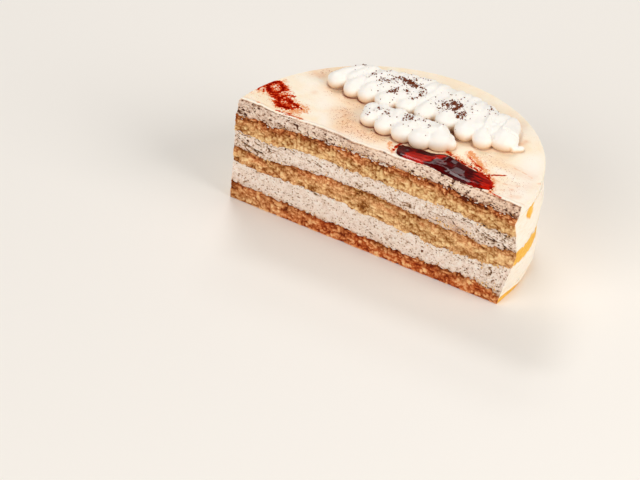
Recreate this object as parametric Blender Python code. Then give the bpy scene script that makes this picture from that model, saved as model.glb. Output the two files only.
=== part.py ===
"""Half of a round tiramisu cake, cut straight down through its middle.

Three sponges and three creams lie in turn under a thin glaze. Two zigzag lines of
piped cream with cocoa crumbs, and a pool of jam, lie on the glaze.
X runs along the cut, Y from the cut into the cake, Z is up. All sizes are in metres.
"""

import math
import random

import bmesh
import bpy
from mathutils import Matrix, Vector

# The whole cake.
HEIGHT = 0.0728
GLAZE_THICKNESS = 0.0022
GLAZE_OVERHANG = 0.0004
GLAZE_ROUNDING = 0.0008
BASE_ROUNDING = 0.0005
ROUNDING_STEP = 0.3  # share of the glaze's rounding, or thickness, at its middle loops
GAP = 0.0003

# Height, then how far the round side reaches to the left and to the right there, and how
# far the cut's right corner is drawn in. The stack leans towards -X on its way down.
SIDE = (
    (0.0000, -0.1048, 0.0930, 0.0040),
    (0.0120, -0.1042, 0.0980, 0.0068),
    (0.0200, -0.1035, 0.0990, 0.0047),
    (0.0270, -0.1030, 0.0977, 0.0011),
    (0.0380, -0.1030, 0.0985, -0.0012),
    (0.0520, -0.1026, 0.1005, 0.0021),
    (0.0600, -0.1024, 0.1000, 0.0030),
    (0.0680, -0.1008, 0.0998, 0.0000),
    (0.0728, -0.1000, 0.1003, 0.0000),
)
CORNER_SHARPNESS = 30  # how close to the corner the drawing in stays
CORNER_NORMAL = 0.7

# Each layer from the bottom up: its kind, then how high its upper seam is on the cut,
# at nine even steps from -X to +X.
LAYERS = (
    ("sponge_bottom", (0.0126, 0.0118, 0.0116, 0.0107, 0.0098, 0.0095, 0.0100, 0.0112, 0.0068)),
    ("cream_lower", (0.0272, 0.0266, 0.0278, 0.0280, 0.0260, 0.0254, 0.0236, 0.0250, 0.0284)),
    ("sponge_middle", (0.0390, 0.0365, 0.0407, 0.0419, 0.0421, 0.0406, 0.0384, 0.0381, 0.0415)),
    ("cream_upper", (0.0495, 0.0496, 0.0530, 0.0531, 0.0529, 0.0529, 0.0532, 0.0517, 0.0510)),
    ("sponge_top", (0.0623, 0.0627, 0.0655, 0.0665, 0.0667, 0.0677, 0.0679, 0.0656, 0.0650)),
    ("cream_top", (HEIGHT - GLAZE_THICKNESS,) * 9),
)
SEAM_FADE = 0.35  # share of the radius over which a seam settles to its mean height
SEAM_RIPPLE = 0.0004
SEAM_RIPPLE_TURNS = 9
SEAM_RIPPLE_SHIFT = 2.1
PLATEAU = 0.86  # size of the flat middle of a seam, next to the whole
PLATEAU_DEPTH = 0.42  # how far back its middle lies, as a share of the radius

CUT_STEPS = 30
ARC_STEPS = 30
WALL_LEVELS = (0.33, 0.67)
SPONGE_RELIEF = 0.0007
CREAM_RELIEF = 0.0004
RELIEF_SEED = 5

# Strokes of the piped lines: the middle of the front end, the middle of the back end
# and half the width. Both ends are round.
LONG_LINE = (
    ((-0.0621, 0.0515), (-0.0550, 0.0668), 0.0065),
    ((-0.0489, 0.0484), (-0.0432, 0.0695), 0.0064),
    ((-0.0380, 0.0486), (-0.0315, 0.0730), 0.0067),
    ((-0.0250, 0.0472), (-0.0180, 0.0750), 0.0070),
    ((-0.0115, 0.0500), (-0.0070, 0.0760), 0.0069),
    ((0.0015, 0.0500), (0.0030, 0.0760), 0.0067),
    ((0.0170, 0.0500), (0.0145, 0.0755), 0.0072),
    ((0.0320, 0.0480), (0.0262, 0.0735), 0.0074),
    ((0.0450, 0.0465), (0.0380, 0.0705), 0.0066),
    ((0.0562, 0.0538), (0.0510, 0.0670), 0.0083),
    ((0.0640, 0.0514), (0.0672, 0.0544), 0.0022),
)
SHORT_LINE = (
    ((-0.0221, 0.0268), (-0.0250, 0.0334), 0.0062),
    ((-0.0103, 0.0245), (-0.0138, 0.0345), 0.0064),
    ((0.0025, 0.0238), (-0.0010, 0.0348), 0.0067),
    ((0.0149, 0.0245), (0.0110, 0.0346), 0.0070),
    ((0.0249, 0.0298), (0.0222, 0.0338), 0.0074),
    ((0.0282, 0.0346), (0.0308, 0.0320), 0.0043),
)
STROKE_HEIGHT = 0.0090
STROKE_HEIGHT_PER_WIDTH = 1.30  # a slim end piece is lower than a full stroke
STROKE_WAIST = 0.42  # height of its widest level, as a share of its height
STROKE_FULLNESS = 5  # how square its ends are
STROKE_TAPER = 0.08  # how much slimmer its back end is
STROKE_SINK = 0.0030  # how far it reaches below the glaze before its foot is trimmed
STROKE_SEGMENTS = 14
STROKE_RINGS = 10

# Cocoa crumbs lie in runs: start, end, number of crumbs.
LONG_LINE_CRUMBS = (
    ((-0.0298, 0.0701), (-0.0121, 0.0662), 11),
    ((-0.0421, 0.0607), (-0.0288, 0.0559), 6),
    ((-0.0330, 0.0608), (-0.0305, 0.0696), 3),
    ((-0.0251, 0.0502), (-0.0221, 0.0565), 4),
    ((-0.0175, 0.0570), (-0.0160, 0.0590), 2),
    ((-0.0107, 0.0530), (-0.0079, 0.0643), 5),
    ((0.0107, 0.0532), (0.0119, 0.0632), 6),
    ((0.0125, 0.0640), (0.0207, 0.0590), 6),
    ((0.0200, 0.0575), (0.0160, 0.0555), 3),
    ((0.0236, 0.0511), (0.0242, 0.0596), 4),
    ((0.0356, 0.0693), (0.0350, 0.0728), 2),
)
SHORT_LINE_CRUMBS = (
    ((-0.0244, 0.0274), (-0.0150, 0.0336), 3),
    ((-0.0117, 0.0271), (-0.0106, 0.0309), 3),
    ((-0.0025, 0.0292), (0.0025, 0.0365), 5),
    ((0.0020, 0.0316), (-0.0014, 0.0330), 2),
)
CRUMB_RADIUS = (0.0009, 0.0015)
CRUMB_SCATTER = 0.0006
CRUMB_LIFT = 0.1  # how far its middle lies above the cream, as a share of its height
CRUMB_SEED = 11
SMALLEST_EDGE = 1e-6
TRIMMER_SIZE = (0.3, 0.3, 0.02)

# The jam: stations along X with its front and its back edge there.
JAM_EDGE = (
    (0.0060, 0.0125, 0.0163),
    (0.0090, 0.0066, 0.0162),
    (0.0130, 0.0046, 0.0155),
    (0.0200, 0.0045, 0.0177),
    (0.0260, 0.0050, 0.0182),
    (0.0300, 0.0055, 0.0198),
    (0.0340, 0.0056, 0.0224),
    (0.0390, 0.0044, 0.0220),
    (0.0450, 0.0037, 0.0211),
    (0.0510, 0.0028, 0.0200),
    (0.0570, 0.0028, 0.0190),
    (0.0640, 0.0027, 0.0172),
    (0.0710, 0.0030, 0.0142),
    (0.0750, 0.0058, 0.0095),
)
JAM_THICKNESS = 0.0019
JAM_SHOULDER = 0.0014  # how far its rounded edge reaches in
JAM_PROFILE = ((0.0, 0.3), (0.35, 0.0), (0.75, 0.3), (1.0, 1.0))  # share of height, of shoulder

SHARP_ANGLE = math.radians(35)

# Colour and roughness of what the layers are made of.
SPONGE = ((0.50, 0.27, 0.10), 0.95)
CREAM = ((0.73, 0.64, 0.54), 0.60)
GLAZE = ((0.93, 0.80, 0.64), 0.35)
PIPED_CREAM = ((0.92, 0.88, 0.82), 0.50)
JAM = ((0.22, 0.004, 0.006), 0.12)


def clear_scene():
    for thing in list(bpy.data.objects):
        bpy.data.objects.remove(thing, do_unlink=True)


def material(name, look):
    colour, roughness = look
    made = bpy.data.materials.new(name)
    made.use_nodes = True
    shader = made.node_tree.nodes["Principled BSDF"]
    shader.inputs["Base Color"].default_value = (*colour, 1.0)
    shader.inputs["Roughness"].default_value = roughness
    shader.inputs["Metallic"].default_value = 0.0
    return made


def smooth_value(values, place):
    """The value at place, from 0 to 1, on a soft curve through evenly spaced values."""
    steps = len(values) - 1
    step = min(int(place * steps), steps - 1)
    share = place * steps - step
    share = share * share * (3 - 2 * share)
    return values[step] + (values[step + 1] - values[step]) * share


def side_at(z):
    """The middle and the radius of the round side, and the corner's drawing in, at height z."""
    for (low, *at_low), (high, *at_high) in zip(SIDE, SIDE[1:]):
        if z <= high:
            break
    share = min(max((z - low) / (high - low), 0.0), 1.0)
    left, right, drawn_in = [a + (b - a) * share for a, b in zip(at_low, at_high)]
    return (left + right) / 2, (right - left) / 2, drawn_in


def spread(across, back, z):
    """The point of the cake at height z that stands for a point of the unit half disc."""
    middle, radius, drawn_in = side_at(z)
    x = middle + radius * across - drawn_in * max(across, 0.0) ** CORNER_SHARPNESS
    return x, radius * back


def unit_outline():
    """Half a disc of radius 1, anticlockwise from the left end of the cut, with outward normals."""
    points = []
    for step in range(CUT_STEPS + 1):
        along = 2 * step / CUT_STEPS - 1
        corner = CORNER_NORMAL if abs(along) == 1 else 0.0
        points.append((along, 0.0, corner * along, -1.0))
    for step in range(1, ARC_STEPS):
        angle = math.pi * step / ARC_STEPS
        points.append((math.cos(angle), math.sin(angle), math.cos(angle), math.sin(angle)))
    return points


OUTLINE = unit_outline()


def seam_height(layer, across, back):
    """Height of a layer's upper seam at a point of the unit outline."""
    heights = LAYERS[layer][1]
    mean = sum(heights) / len(heights)
    if max(heights) == min(heights):
        return mean
    fade = math.exp(-((back / SEAM_FADE) ** 2))
    on_cut = smooth_value(heights, (across + 1) / 2) - mean
    turn = SEAM_RIPPLE_TURNS * across + SEAM_RIPPLE_SHIFT * layer
    return mean + on_cut * fade + SEAM_RIPPLE * math.sin(turn) * (1 - fade)


def edge_loop(heights, push):
    """The outline at the given heights, each point pushed out along its normal."""
    loop = []
    for (across, back, out_x, out_y), z, out in zip(OUTLINE, heights, push):
        x, y = spread(across, back, z)
        loop.append((x + out * out_x, y + out * out_y, z))
    return loop


def plateau_loop(z):
    """The outline of a seam's flat middle."""
    loop = []
    for across, back, _, _ in OUTLINE:
        inner_back = PLATEAU_DEPTH + (back - PLATEAU_DEPTH) * PLATEAU
        loop.append((*spread(across * PLATEAU, inner_back, z), z))
    return loop


def loft(name, loops, look, turned_bands=()):
    """A closed body through loops of equal length, flat at both ends.

    Both neighbours of a seam are split along the same diagonals, which keeps the gap
    between them even: turned_bands are split along the other diagonal.
    """
    body = bmesh.new()
    rings = [[body.verts.new(point) for point in loop] for loop in loops]
    for band, (lower, upper) in enumerate(zip(rings, rings[1:])):
        for k in range(len(lower)):
            after = (k + 1) % len(lower)
            a, b, c, d = lower[k], lower[after], upper[after], upper[k]
            halves = ((a, b, d), (b, c, d)) if band in turned_bands else ((a, b, c), (a, c, d))
            for corners in halves:
                body.faces.new(corners)
    body.faces.new(rings[0][::-1])
    body.faces.new(rings[-1])
    return add_object(name, body, look)


def add_object(name, body, look=None):
    """Makes an object from a bmesh, and frees that."""
    mesh = bpy.data.meshes.new(name)
    body.to_mesh(mesh)
    body.free()
    thing = bpy.data.objects.new(name, mesh)
    bpy.context.scene.collection.objects.link(thing)
    if look:
        mesh.materials.append(look)
        mesh.shade_smooth()
        mesh.set_sharp_from_angle(angle=SHARP_ANGLE)
    return thing


def add_layer(number, look, rng):
    """One layer between the seam below it and the seam above it."""
    name = LAYERS[number][0]
    relief = SPONGE_RELIEF if name.startswith("sponge") else CREAM_RELIEF
    none = [0.0] * len(OUTLINE)
    above = [seam_height(number, across, back) - GAP / 2 for across, back, _, _ in OUTLINE]
    top_mean = sum(LAYERS[number][1]) / len(LAYERS[number][1]) - GAP / 2
    if number == 0:
        below = [BASE_ROUNDING] * len(OUTLINE)
        foot = [edge_loop([0.0] * len(OUTLINE), [-BASE_ROUNDING] * len(OUTLINE))]
        turned = ()
    else:
        below = [seam_height(number - 1, across, back) + GAP / 2 for across, back, _, _ in OUTLINE]
        low_mean = sum(LAYERS[number - 1][1]) / len(LAYERS[number - 1][1]) + GAP / 2
        foot = [plateau_loop(low_mean)]
        turned = (0,)
    wall = [edge_loop(below, none)]
    for level in WALL_LEVELS:
        heights = [low + (high - low) * level for low, high in zip(below, above)]
        push = [rng.uniform(-relief, relief) for _ in OUTLINE]
        wall.append(edge_loop(heights, push))
    wall.append(edge_loop(above, none))
    head = [] if name == "cream_top" else [plateau_loop(top_mean)]
    return loft(name, foot + wall + head, look, turned)


def add_glaze(look):
    """The thin coat on top, which rounds over the rim."""
    count = len(OUTLINE)
    foot = HEIGHT - GLAZE_THICKNESS + GAP / 2
    levels = (
        (foot, 0.0),
        (foot + ROUNDING_STEP * GLAZE_THICKNESS, GLAZE_OVERHANG),
        (HEIGHT - GLAZE_ROUNDING, GLAZE_OVERHANG),
        (HEIGHT - ROUNDING_STEP * GLAZE_ROUNDING, GLAZE_OVERHANG - ROUNDING_STEP * GLAZE_ROUNDING),
        (HEIGHT, GLAZE_OVERHANG - GLAZE_ROUNDING),
    )
    loops = [edge_loop([z] * count, [out] * count) for z, out in levels]
    return loft("glaze", loops, look)


def stroke_size(stroke):
    """A stroke's middle, its direction, half its length and its height."""
    front, back, half_width = stroke
    front, back = Vector(front), Vector(back)
    height = min(STROKE_HEIGHT, STROKE_HEIGHT_PER_WIDTH * half_width)
    half_length = (back - front).length / 2 + half_width
    return (front + back) / 2, (back - front).normalized(), half_length, height


def stroke_section(stroke, along):
    """Half width and fullness of a stroke at a place from -1, its front tip, to 1, its back tip."""
    fullness = math.sqrt(max(1 - abs(along) ** STROKE_FULLNESS, 0.0))
    return stroke[2] * (1 - STROKE_TAPER * along) * fullness, fullness


def stroke_top(stroke, x, y):
    """Height of a stroke's upper side above the glaze at x, y, or 0 beside it."""
    middle, direction, half_length, height = stroke_size(stroke)
    away = Vector((x, y)) - middle
    along = away.dot(direction) / half_length
    if abs(along) >= 1:
        return 0.0
    half_width, fullness = stroke_section(stroke, along)
    sideways = away.dot(Vector((direction.y, -direction.x))) / half_width
    if abs(sideways) >= 1:
        return 0.0
    return height * (STROKE_WAIST + (1 - STROKE_WAIST) * fullness * math.sqrt(1 - sideways**2))


def add_stroke(stroke):
    """A stroke of piping, from a sphere drawn out along the stroke."""
    middle, direction, half_length, height = stroke_size(stroke)
    sideways = Vector((direction.y, -direction.x))
    waist = height * STROKE_WAIST
    body = bmesh.new()
    bmesh.ops.create_uvsphere(body, u_segments=STROKE_SEGMENTS, v_segments=STROKE_RINGS, radius=1)
    for corner in body.verts:
        along = corner.co.z
        ring = max(math.hypot(corner.co.x, corner.co.y), 1e-9)
        half_width, fullness = stroke_section(stroke, along)
        across = corner.co.x / ring * half_width
        rise = corner.co.y / ring * fullness
        place = middle + direction * along * half_length + sideways * across
        lift = rise * (height - waist) if rise > 0 else rise * (waist + STROKE_SINK)
        corner.co = (place.x, place.y, HEIGHT + waist + lift)
    bmesh.ops.recalc_face_normals(body, faces=body.faces)
    return add_object("stroke", body)


def add_crumb(strokes, x, y, rng):
    """A cocoa crumb, half sunk in the piped line's upper side."""
    top = max(stroke_top(stroke, x, y) for stroke in strokes)
    body = bmesh.new()
    bmesh.ops.create_icosphere(body, subdivisions=1, radius=1)
    size = [rng.uniform(*CRUMB_RADIUS) for _ in range(3)]
    turn = Matrix.Rotation(rng.uniform(0, math.pi), 4, (rng.random(), rng.random(), 1))
    place = Matrix.Translation((x, y, HEIGHT + top + CRUMB_LIFT * size[2]))
    body.transform(place @ turn @ Matrix.Diagonal((*size, 1)))
    return add_object("crumb", body)


def add_crumbs(strokes, runs, rng):
    crumbs = []
    for start, end, count in runs:
        for k in range(count):
            share = k / (count - 1)
            x = start[0] + (end[0] - start[0]) * share + rng.uniform(-CRUMB_SCATTER, CRUMB_SCATTER)
            y = start[1] + (end[1] - start[1]) * share + rng.uniform(-CRUMB_SCATTER, CRUMB_SCATTER)
            crumbs.append(add_crumb(strokes, x, y, rng))
    return crumbs


def add_trimmer():
    """A block up to the foot of what lies on the glaze."""
    body = bmesh.new()
    bmesh.ops.create_cube(body, size=1)
    low = HEIGHT + GAP - TRIMMER_SIZE[2] / 2
    body.transform(Matrix.Translation((0, 0, low)) @ Matrix.Diagonal((*TRIMMER_SIZE, 1)))
    trimmer = add_object("trimmer", body)
    trimmer.hide_render = True
    trimmer.display_type = "WIRE"
    return trimmer


def keep_outer_skin(body):
    """Drops the skins of sealed hollows and loose scraps, and keeps the largest one."""
    unseen = set(body.verts)
    skins = []
    while unseen:
        skin = {unseen.pop()}
        edge_of_skin = list(skin)
        while edge_of_skin:
            corner = edge_of_skin.pop()
            for edge in corner.link_edges:
                other = edge.other_vert(corner)
                if other in unseen:
                    unseen.remove(other)
                    skin.add(other)
                    edge_of_skin.append(other)
        skins.append(skin)
    largest = max(skins, key=len)
    dropped = [corner for skin in skins if skin is not largest for corner in skin]
    bmesh.ops.delete(body, geom=dropped, context="VERTS")


def add_piped_line(name, strokes, runs, look, rng):
    """One solid from the strokes of a line and its crumbs, with a flat foot on the glaze."""
    pieces = [add_stroke(stroke) for stroke in strokes] + add_crumbs(strokes, runs, rng)
    helpers = bpy.data.collections.new(name + "_pieces")
    bpy.context.scene.collection.children.link(helpers)
    for piece in pieces[1:]:
        bpy.context.scene.collection.objects.unlink(piece)
        helpers.objects.link(piece)
    trimmer = add_trimmer()
    join = pieces[0].modifiers.new("join", "BOOLEAN")
    join.operation = "UNION"
    join.operand_type = "COLLECTION"
    join.collection = helpers
    trim = pieces[0].modifiers.new("trim", "BOOLEAN")
    trim.operation = "DIFFERENCE"
    trim.object = trimmer
    graph = bpy.context.evaluated_depsgraph_get()
    line = bmesh.new()
    line.from_mesh(bpy.data.meshes.new_from_object(pieces[0].evaluated_get(graph)))
    bmesh.ops.dissolve_degenerate(line, dist=SMALLEST_EDGE, edges=line.edges)
    keep_outer_skin(line)
    for piece in [*pieces, trimmer]:
        bpy.data.objects.remove(piece, do_unlink=True)
    bpy.data.collections.remove(helpers)
    return add_object(name, line, look)


def add_jam(look):
    """The pool of jam, a low cushion with a rounded edge."""
    front = [(x, near) for x, near, _ in JAM_EDGE]
    back = [(x, far) for x, _, far in reversed(JAM_EDGE)]
    edge = [Vector(point) for point in front + back]
    inward = []
    for k, point in enumerate(edge):
        run = (edge[(k + 1) % len(edge)] - edge[k - 1]).normalized()
        inward.append(Vector((-run.y, run.x)))
    loops = []
    for rise, reach in JAM_PROFILE:
        z = HEIGHT + GAP + rise * (JAM_THICKNESS - GAP)
        shift = reach * JAM_SHOULDER
        loops.append([(*(point + into * shift), z) for point, into in zip(edge, inward)])
    return loft("jam", loops, look)


def main():
    clear_scene()
    looks = {"sponge": material("sponge", SPONGE), "cream": material("cream", CREAM)}
    relief_rng = random.Random(RELIEF_SEED)
    crumb_rng = random.Random(CRUMB_SEED)
    piped = material("piped_cream", PIPED_CREAM)
    parts = [
        add_layer(number, looks[name.split("_")[0]], relief_rng)
        for number, (name, _) in enumerate(LAYERS)
    ]
    parts.append(add_glaze(material("glaze", GLAZE)))
    parts.append(add_piped_line("piped_cream_long", LONG_LINE, LONG_LINE_CRUMBS, piped, crumb_rng))
    parts.append(add_piped_line("piped_cream_short", SHORT_LINE, SHORT_LINE_CRUMBS, piped, crumb_rng))
    parts.append(add_jam(material("jam", JAM)))

    cake = bpy.data.collections.new("tiramisu_cake")
    bpy.context.scene.collection.children.link(cake)
    stand = bpy.data.objects.new("stand", None)
    left = min(row[1] for row in SIDE)
    right = max(row[2] for row in SIDE)
    radius = max(row[2] - row[1] for row in SIDE) / 2
    stand.location = (-(left + right) / 2, -radius / 2, 0)
    cake.objects.link(stand)
    for part in parts:
        bpy.context.scene.collection.objects.unlink(part)
        cake.objects.link(part)
        part.parent = stand


main()
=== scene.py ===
"""The looks of half a round tiramisu cake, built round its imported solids.

Sizes are in metres, apart from the tables that are said to be in millimetres.

X runs along the cut, Y from the cut into the cake, Z is up. Places on the cake are counted
from the middle of the cut's bottom edge, and SHIFT takes them into the frame.
"""

import itertools
import math

import bmesh
import bpy
import numpy as np
from mathutils import Matrix, Vector
from mathutils.bvhtree import BVHTree


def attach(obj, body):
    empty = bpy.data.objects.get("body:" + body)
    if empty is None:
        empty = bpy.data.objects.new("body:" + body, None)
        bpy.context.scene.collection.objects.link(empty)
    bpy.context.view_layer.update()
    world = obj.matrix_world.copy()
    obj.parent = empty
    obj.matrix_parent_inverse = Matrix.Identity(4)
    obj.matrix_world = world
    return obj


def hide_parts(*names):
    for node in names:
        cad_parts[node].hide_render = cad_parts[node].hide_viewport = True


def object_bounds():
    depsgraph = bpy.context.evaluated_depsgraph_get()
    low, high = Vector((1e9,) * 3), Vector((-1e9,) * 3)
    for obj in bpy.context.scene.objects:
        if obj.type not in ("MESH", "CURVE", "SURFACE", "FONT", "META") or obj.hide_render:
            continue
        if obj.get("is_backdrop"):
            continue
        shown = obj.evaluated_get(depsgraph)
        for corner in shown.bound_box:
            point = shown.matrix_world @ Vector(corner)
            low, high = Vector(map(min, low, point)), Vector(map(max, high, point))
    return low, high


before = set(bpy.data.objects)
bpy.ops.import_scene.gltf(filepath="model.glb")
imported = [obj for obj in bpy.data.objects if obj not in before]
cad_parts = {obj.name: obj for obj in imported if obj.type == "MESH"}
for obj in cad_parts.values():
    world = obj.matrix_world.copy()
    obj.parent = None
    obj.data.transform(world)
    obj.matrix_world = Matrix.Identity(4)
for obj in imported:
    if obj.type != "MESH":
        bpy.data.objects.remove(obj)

CAD_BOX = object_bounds()
MM = 0.001
FAR = 9.0

# ---------------------------------------------------------------- sizes of the solids

HEIGHT = 0.0728
RIM_RADIUS = 0.1
GLAZE_THICKNESS = 0.0022
GLAZE_OVERHANG = 0.0004
GLAZE_ROUNDING = 0.0008

# Height, reach to the left and to the right, and how far the cut's right corner is drawn in.
SIDE_ROWS = (
    (0.0000, -0.1048, 0.0930, 0.0040),
    (0.0120, -0.1042, 0.0980, 0.0068),
    (0.0200, -0.1035, 0.0990, 0.0047),
    (0.0270, -0.1030, 0.0977, 0.0011),
    (0.0380, -0.1030, 0.0985, -0.0012),
    (0.0520, -0.1026, 0.1005, 0.0021),
    (0.0600, -0.1024, 0.1000, 0.0030),
    (0.0680, -0.1008, 0.0998, 0.0000),
    (0.0728, -0.1000, 0.1003, 0.0000),
)
SIDE = np.array(SIDE_ROWS)
CORNER_SHARPNESS = 30
CORNERS_OUTWARD = ((-0.7, -0.7), (0.7, -0.7))

# Each layer from the bottom up, with the height of its upper seam along the cut.
LAYERS = (
    ("sponge_bottom", (0.0126, 0.0118, 0.0116, 0.0107, 0.0098, 0.0095, 0.0100, 0.0112, 0.0068)),
    ("cream_lower", (0.0272, 0.0266, 0.0278, 0.0280, 0.0260, 0.0254, 0.0236, 0.0250, 0.0284)),
    ("sponge_middle", (0.0390, 0.0365, 0.0407, 0.0419, 0.0421, 0.0406, 0.0384, 0.0381, 0.0415)),
    ("cream_upper", (0.0495, 0.0496, 0.0530, 0.0531, 0.0529, 0.0529, 0.0532, 0.0517, 0.0510)),
    ("sponge_top", (0.0623, 0.0627, 0.0655, 0.0665, 0.0667, 0.0677, 0.0679, 0.0656, 0.0650)),
    ("cream_top", (HEIGHT - GLAZE_THICKNESS,) * 9),
)
SEAM_FADE = 0.35
SEAM_RIPPLE = 0.0004
SEAM_RIPPLE_TURNS = 9
SEAM_RIPPLE_SHIFT = 2.1
PLATEAU = 0.86
PLATEAU_DEPTH = 0.42
SEAM_GAP = 0.00006

# Strokes of the piped lines: middle of the front end, middle of the back end, half width.
LONG_LINE = (
    ((-0.0621, 0.0515), (-0.0550, 0.0668), 0.0065),
    ((-0.0489, 0.0484), (-0.0432, 0.0695), 0.0064),
    ((-0.0380, 0.0486), (-0.0315, 0.0730), 0.0067),
    ((-0.0250, 0.0472), (-0.0180, 0.0750), 0.0070),
    ((-0.0115, 0.0500), (-0.0070, 0.0760), 0.0069),
    ((0.0015, 0.0500), (0.0030, 0.0760), 0.0067),
    ((0.0170, 0.0500), (0.0145, 0.0755), 0.0072),
    ((0.0320, 0.0480), (0.0262, 0.0735), 0.0074),
    ((0.0450, 0.0465), (0.0380, 0.0705), 0.0066),
    ((0.0562, 0.0538), (0.0510, 0.0670), 0.0083),
    ((0.0640, 0.0514), (0.0672, 0.0544), 0.0022),
)
SHORT_LINE = (
    ((-0.0221, 0.0268), (-0.0250, 0.0334), 0.0062),
    ((-0.0103, 0.0245), (-0.0138, 0.0345), 0.0064),
    ((0.0025, 0.0238), (-0.0010, 0.0348), 0.0067),
    ((0.0149, 0.0245), (0.0110, 0.0346), 0.0070),
    ((0.0249, 0.0298), (0.0222, 0.0338), 0.0074),
    ((0.0282, 0.0346), (0.0308, 0.0320), 0.0043),
)
STROKE_HEIGHT = 0.0090
STROKE_HEIGHT_PER_WIDTH = 1.30
STROKE_WAIST = 0.42
STROKE_FULLNESS = 5
STROKE_TAPER = 0.08
STROKE_SINK = 0.0012

# Cocoa crumbs lie in runs: number of clumps, spread aside, then X and Y of points, in millimetres.
CRUMB_RUNS = (
    (26, 0.8, -27, 69, -22, 67.9, -15.6, 66),
    (6, 1.3, -44.5, 61.7, -37, 60, -29.8, 55.1),
    (5, 0.6, -32.7, 61.2, -31, 66, -29.5, 70),
    (7, 0.6, -25.2, 50.3, -21.7, 56.1),
    (3, 0.5, -18.3, 59.7, -15.4, 56.8),
    (7, 0.4, -10.1, 52.5, -7.7, 54.4, -8.3, 64.3, -12.7, 67.1),
    (8, 1, 10.2, 53.6, 11.3, 58.5, 12.4, 61.5),
    (24, 1, 12.4, 61.5, 13.6, 64.5, 17.8, 63.5, 19.8, 57.9, 17.1, 55.8),
    (9, 0.7, 23.8, 50.7, 24.3, 57.2),
    (1, 0.2, -55.1, 68.3, -54.3, 67.9),
    (2, 0.3, 36, 70.3, 35.1, 72.6),
    (1, 0.4, -24.7, 26.5, -20.5, 22.6),
    (2, 0.3, -19.5, 30.5, -17.8, 28.7),
    (3, 0.6, -16.1, 30, -10, 28.5),
    (1, 0.3, -15.1, 33.9, -13.9, 33.7),
    (7, 0.4, -2.4, 30.3, -1.9, 35.8, 3.1, 35.1, 2.4, 29.9, -0.6, 30.6),
    (1, 0.2, 9.2, 35.1, 9.7, 34.4),
    (1, 0.2, 16.1, 32.3, 16.6, 31.6),
    (1, 0.2, 21.6, 40.5, 22.1, 39.9),
)
LOOSE_GRAINS = 230
LOOSE_SPREAD = 0.0060
CUT_FLECK = (0.0353, -0.0001, 0.0165)
CUT_FLECK_RADIUS = 0.0009

# The jam: stations along X with its front and its back edge there, in millimetres.
JAM_EDGE = (
    (6, 12.5, 16.3), (9, 6.6, 16.2), (13, 4.6, 15.5), (20, 4.5, 17.7), (26, 5, 18.2), (30, 5.5, 19.8),
    (34, 5.6, 22.4), (39, 4.4, 22), (45, 3.7, 21.1), (51, 2.8, 20), (57, 2.8, 19), (64, 2.7, 17.2),
    (71, 3, 14.2), (75, 5.8, 9.5),
)

WIDEST = (SIDE[:, 2] - SIDE[:, 1]).max()
SHIFT = np.array((-(SIDE[:, 1].min() + SIDE[:, 2].max()) / 2, -WIDEST / 4, 0.0))


# ---------------------------------------------------------------- random fields

TABLE_SIZE = 64
TABLE = np.random.RandomState(3).uniform(-1, 1, (TABLE_SIZE,) * 3)
JITTER = np.random.RandomState(4).uniform(-0.5, 0.5, (TABLE_SIZE,) * 3 + (3,))
CORNERS = list(itertools.product((0, 1), repeat=3))
NEIGHBOURS = list(itertools.product((-1, 0, 1), repeat=3))
FIELD_OFFSET = np.array((17.31, 9.17, 5.73))


def ease(share):
    """The share with a soft start and a soft end."""
    return share * share * (3 - 2 * share)


def noise(places, size, field=0):
    """Smooth random values from -1 to 1, with features of about this size."""
    scaled = places / np.asarray(size) + field * FIELD_OFFSET
    cell = np.floor(scaled).astype(int)
    share = ease(scaled - cell)
    total = np.zeros(len(places))
    for corner in CORNERS:
        weight = np.prod(np.where(corner, share, 1 - share), axis=1)
        i, j, k = ((cell + corner) % TABLE_SIZE).T
        total += weight * TABLE[i, j, k]
    return total


def cells(places, size, field=0):
    """Distance to the nearest of scattered points, as a share of size, and that point's chance."""
    scaled = places / np.asarray(size) + field * FIELD_OFFSET
    cell = np.floor(scaled).astype(int)
    nearest = np.full(len(places), FAR)
    chance = np.zeros(len(places))
    for step in NEIGHBOURS:
        i, j, k = ((cell + step) % TABLE_SIZE).T
        away = np.linalg.norm(scaled - (cell + step + 0.5 + JITTER[i, j, k]), axis=1)
        closer = away < nearest
        nearest = np.where(closer, away, nearest)
        chance = np.where(closer, TABLE[i, j, k] * 0.5 + 0.5, chance)
    return nearest, chance


def ramp_to(value, low, high):
    """0 below low, 1 above high, and a soft step between them."""
    return ease(np.clip((value - low) / (high - low), 0, 1))


def fall_to(value, low, high):
    """1 below low, 0 above high, and a soft step between them."""
    return 1 - ramp_to(value, low, high)


def bell(value, middle, width):
    """1 where the value is the middle one, and less and less to both sides."""
    return np.exp(-(((value - middle) / width) ** 2))


def path_distance(flat, path):
    """Distance in the plane from each place to a line through the path's points."""
    nearest = np.full(len(flat), FAR)
    points = np.array(path, float)
    if len(points) == 1:
        return np.linalg.norm(flat - points[0], axis=1)
    for start, end in zip(points, points[1:]):
        run = end - start
        share = np.clip(((flat - start) @ run) / (run @ run), 0, 1)
        nearest = np.minimum(nearest, np.linalg.norm(flat - start - share[:, None] * run, axis=1))
    return nearest


# ---------------------------------------------------------------- shape of the cake


def side_at(z):
    """Middle and radius of the round side, and the corner's drawing in, at heights z."""
    left, right, drawn_in = [np.interp(z, SIDE[:, 0], SIDE[:, column]) for column in (1, 2, 3)]
    return (left + right) / 2, (right - left) / 2, drawn_in


def spread(across, back, z):
    """The cake's points at heights z that stand for points of the unit half disc."""
    middle, radius, drawn_in = side_at(z)
    x = middle + radius * across - drawn_in * np.maximum(across, 0) ** CORNER_SHARPNESS
    return np.stack([x, radius * back, z + 0 * x], axis=-1)


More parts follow.
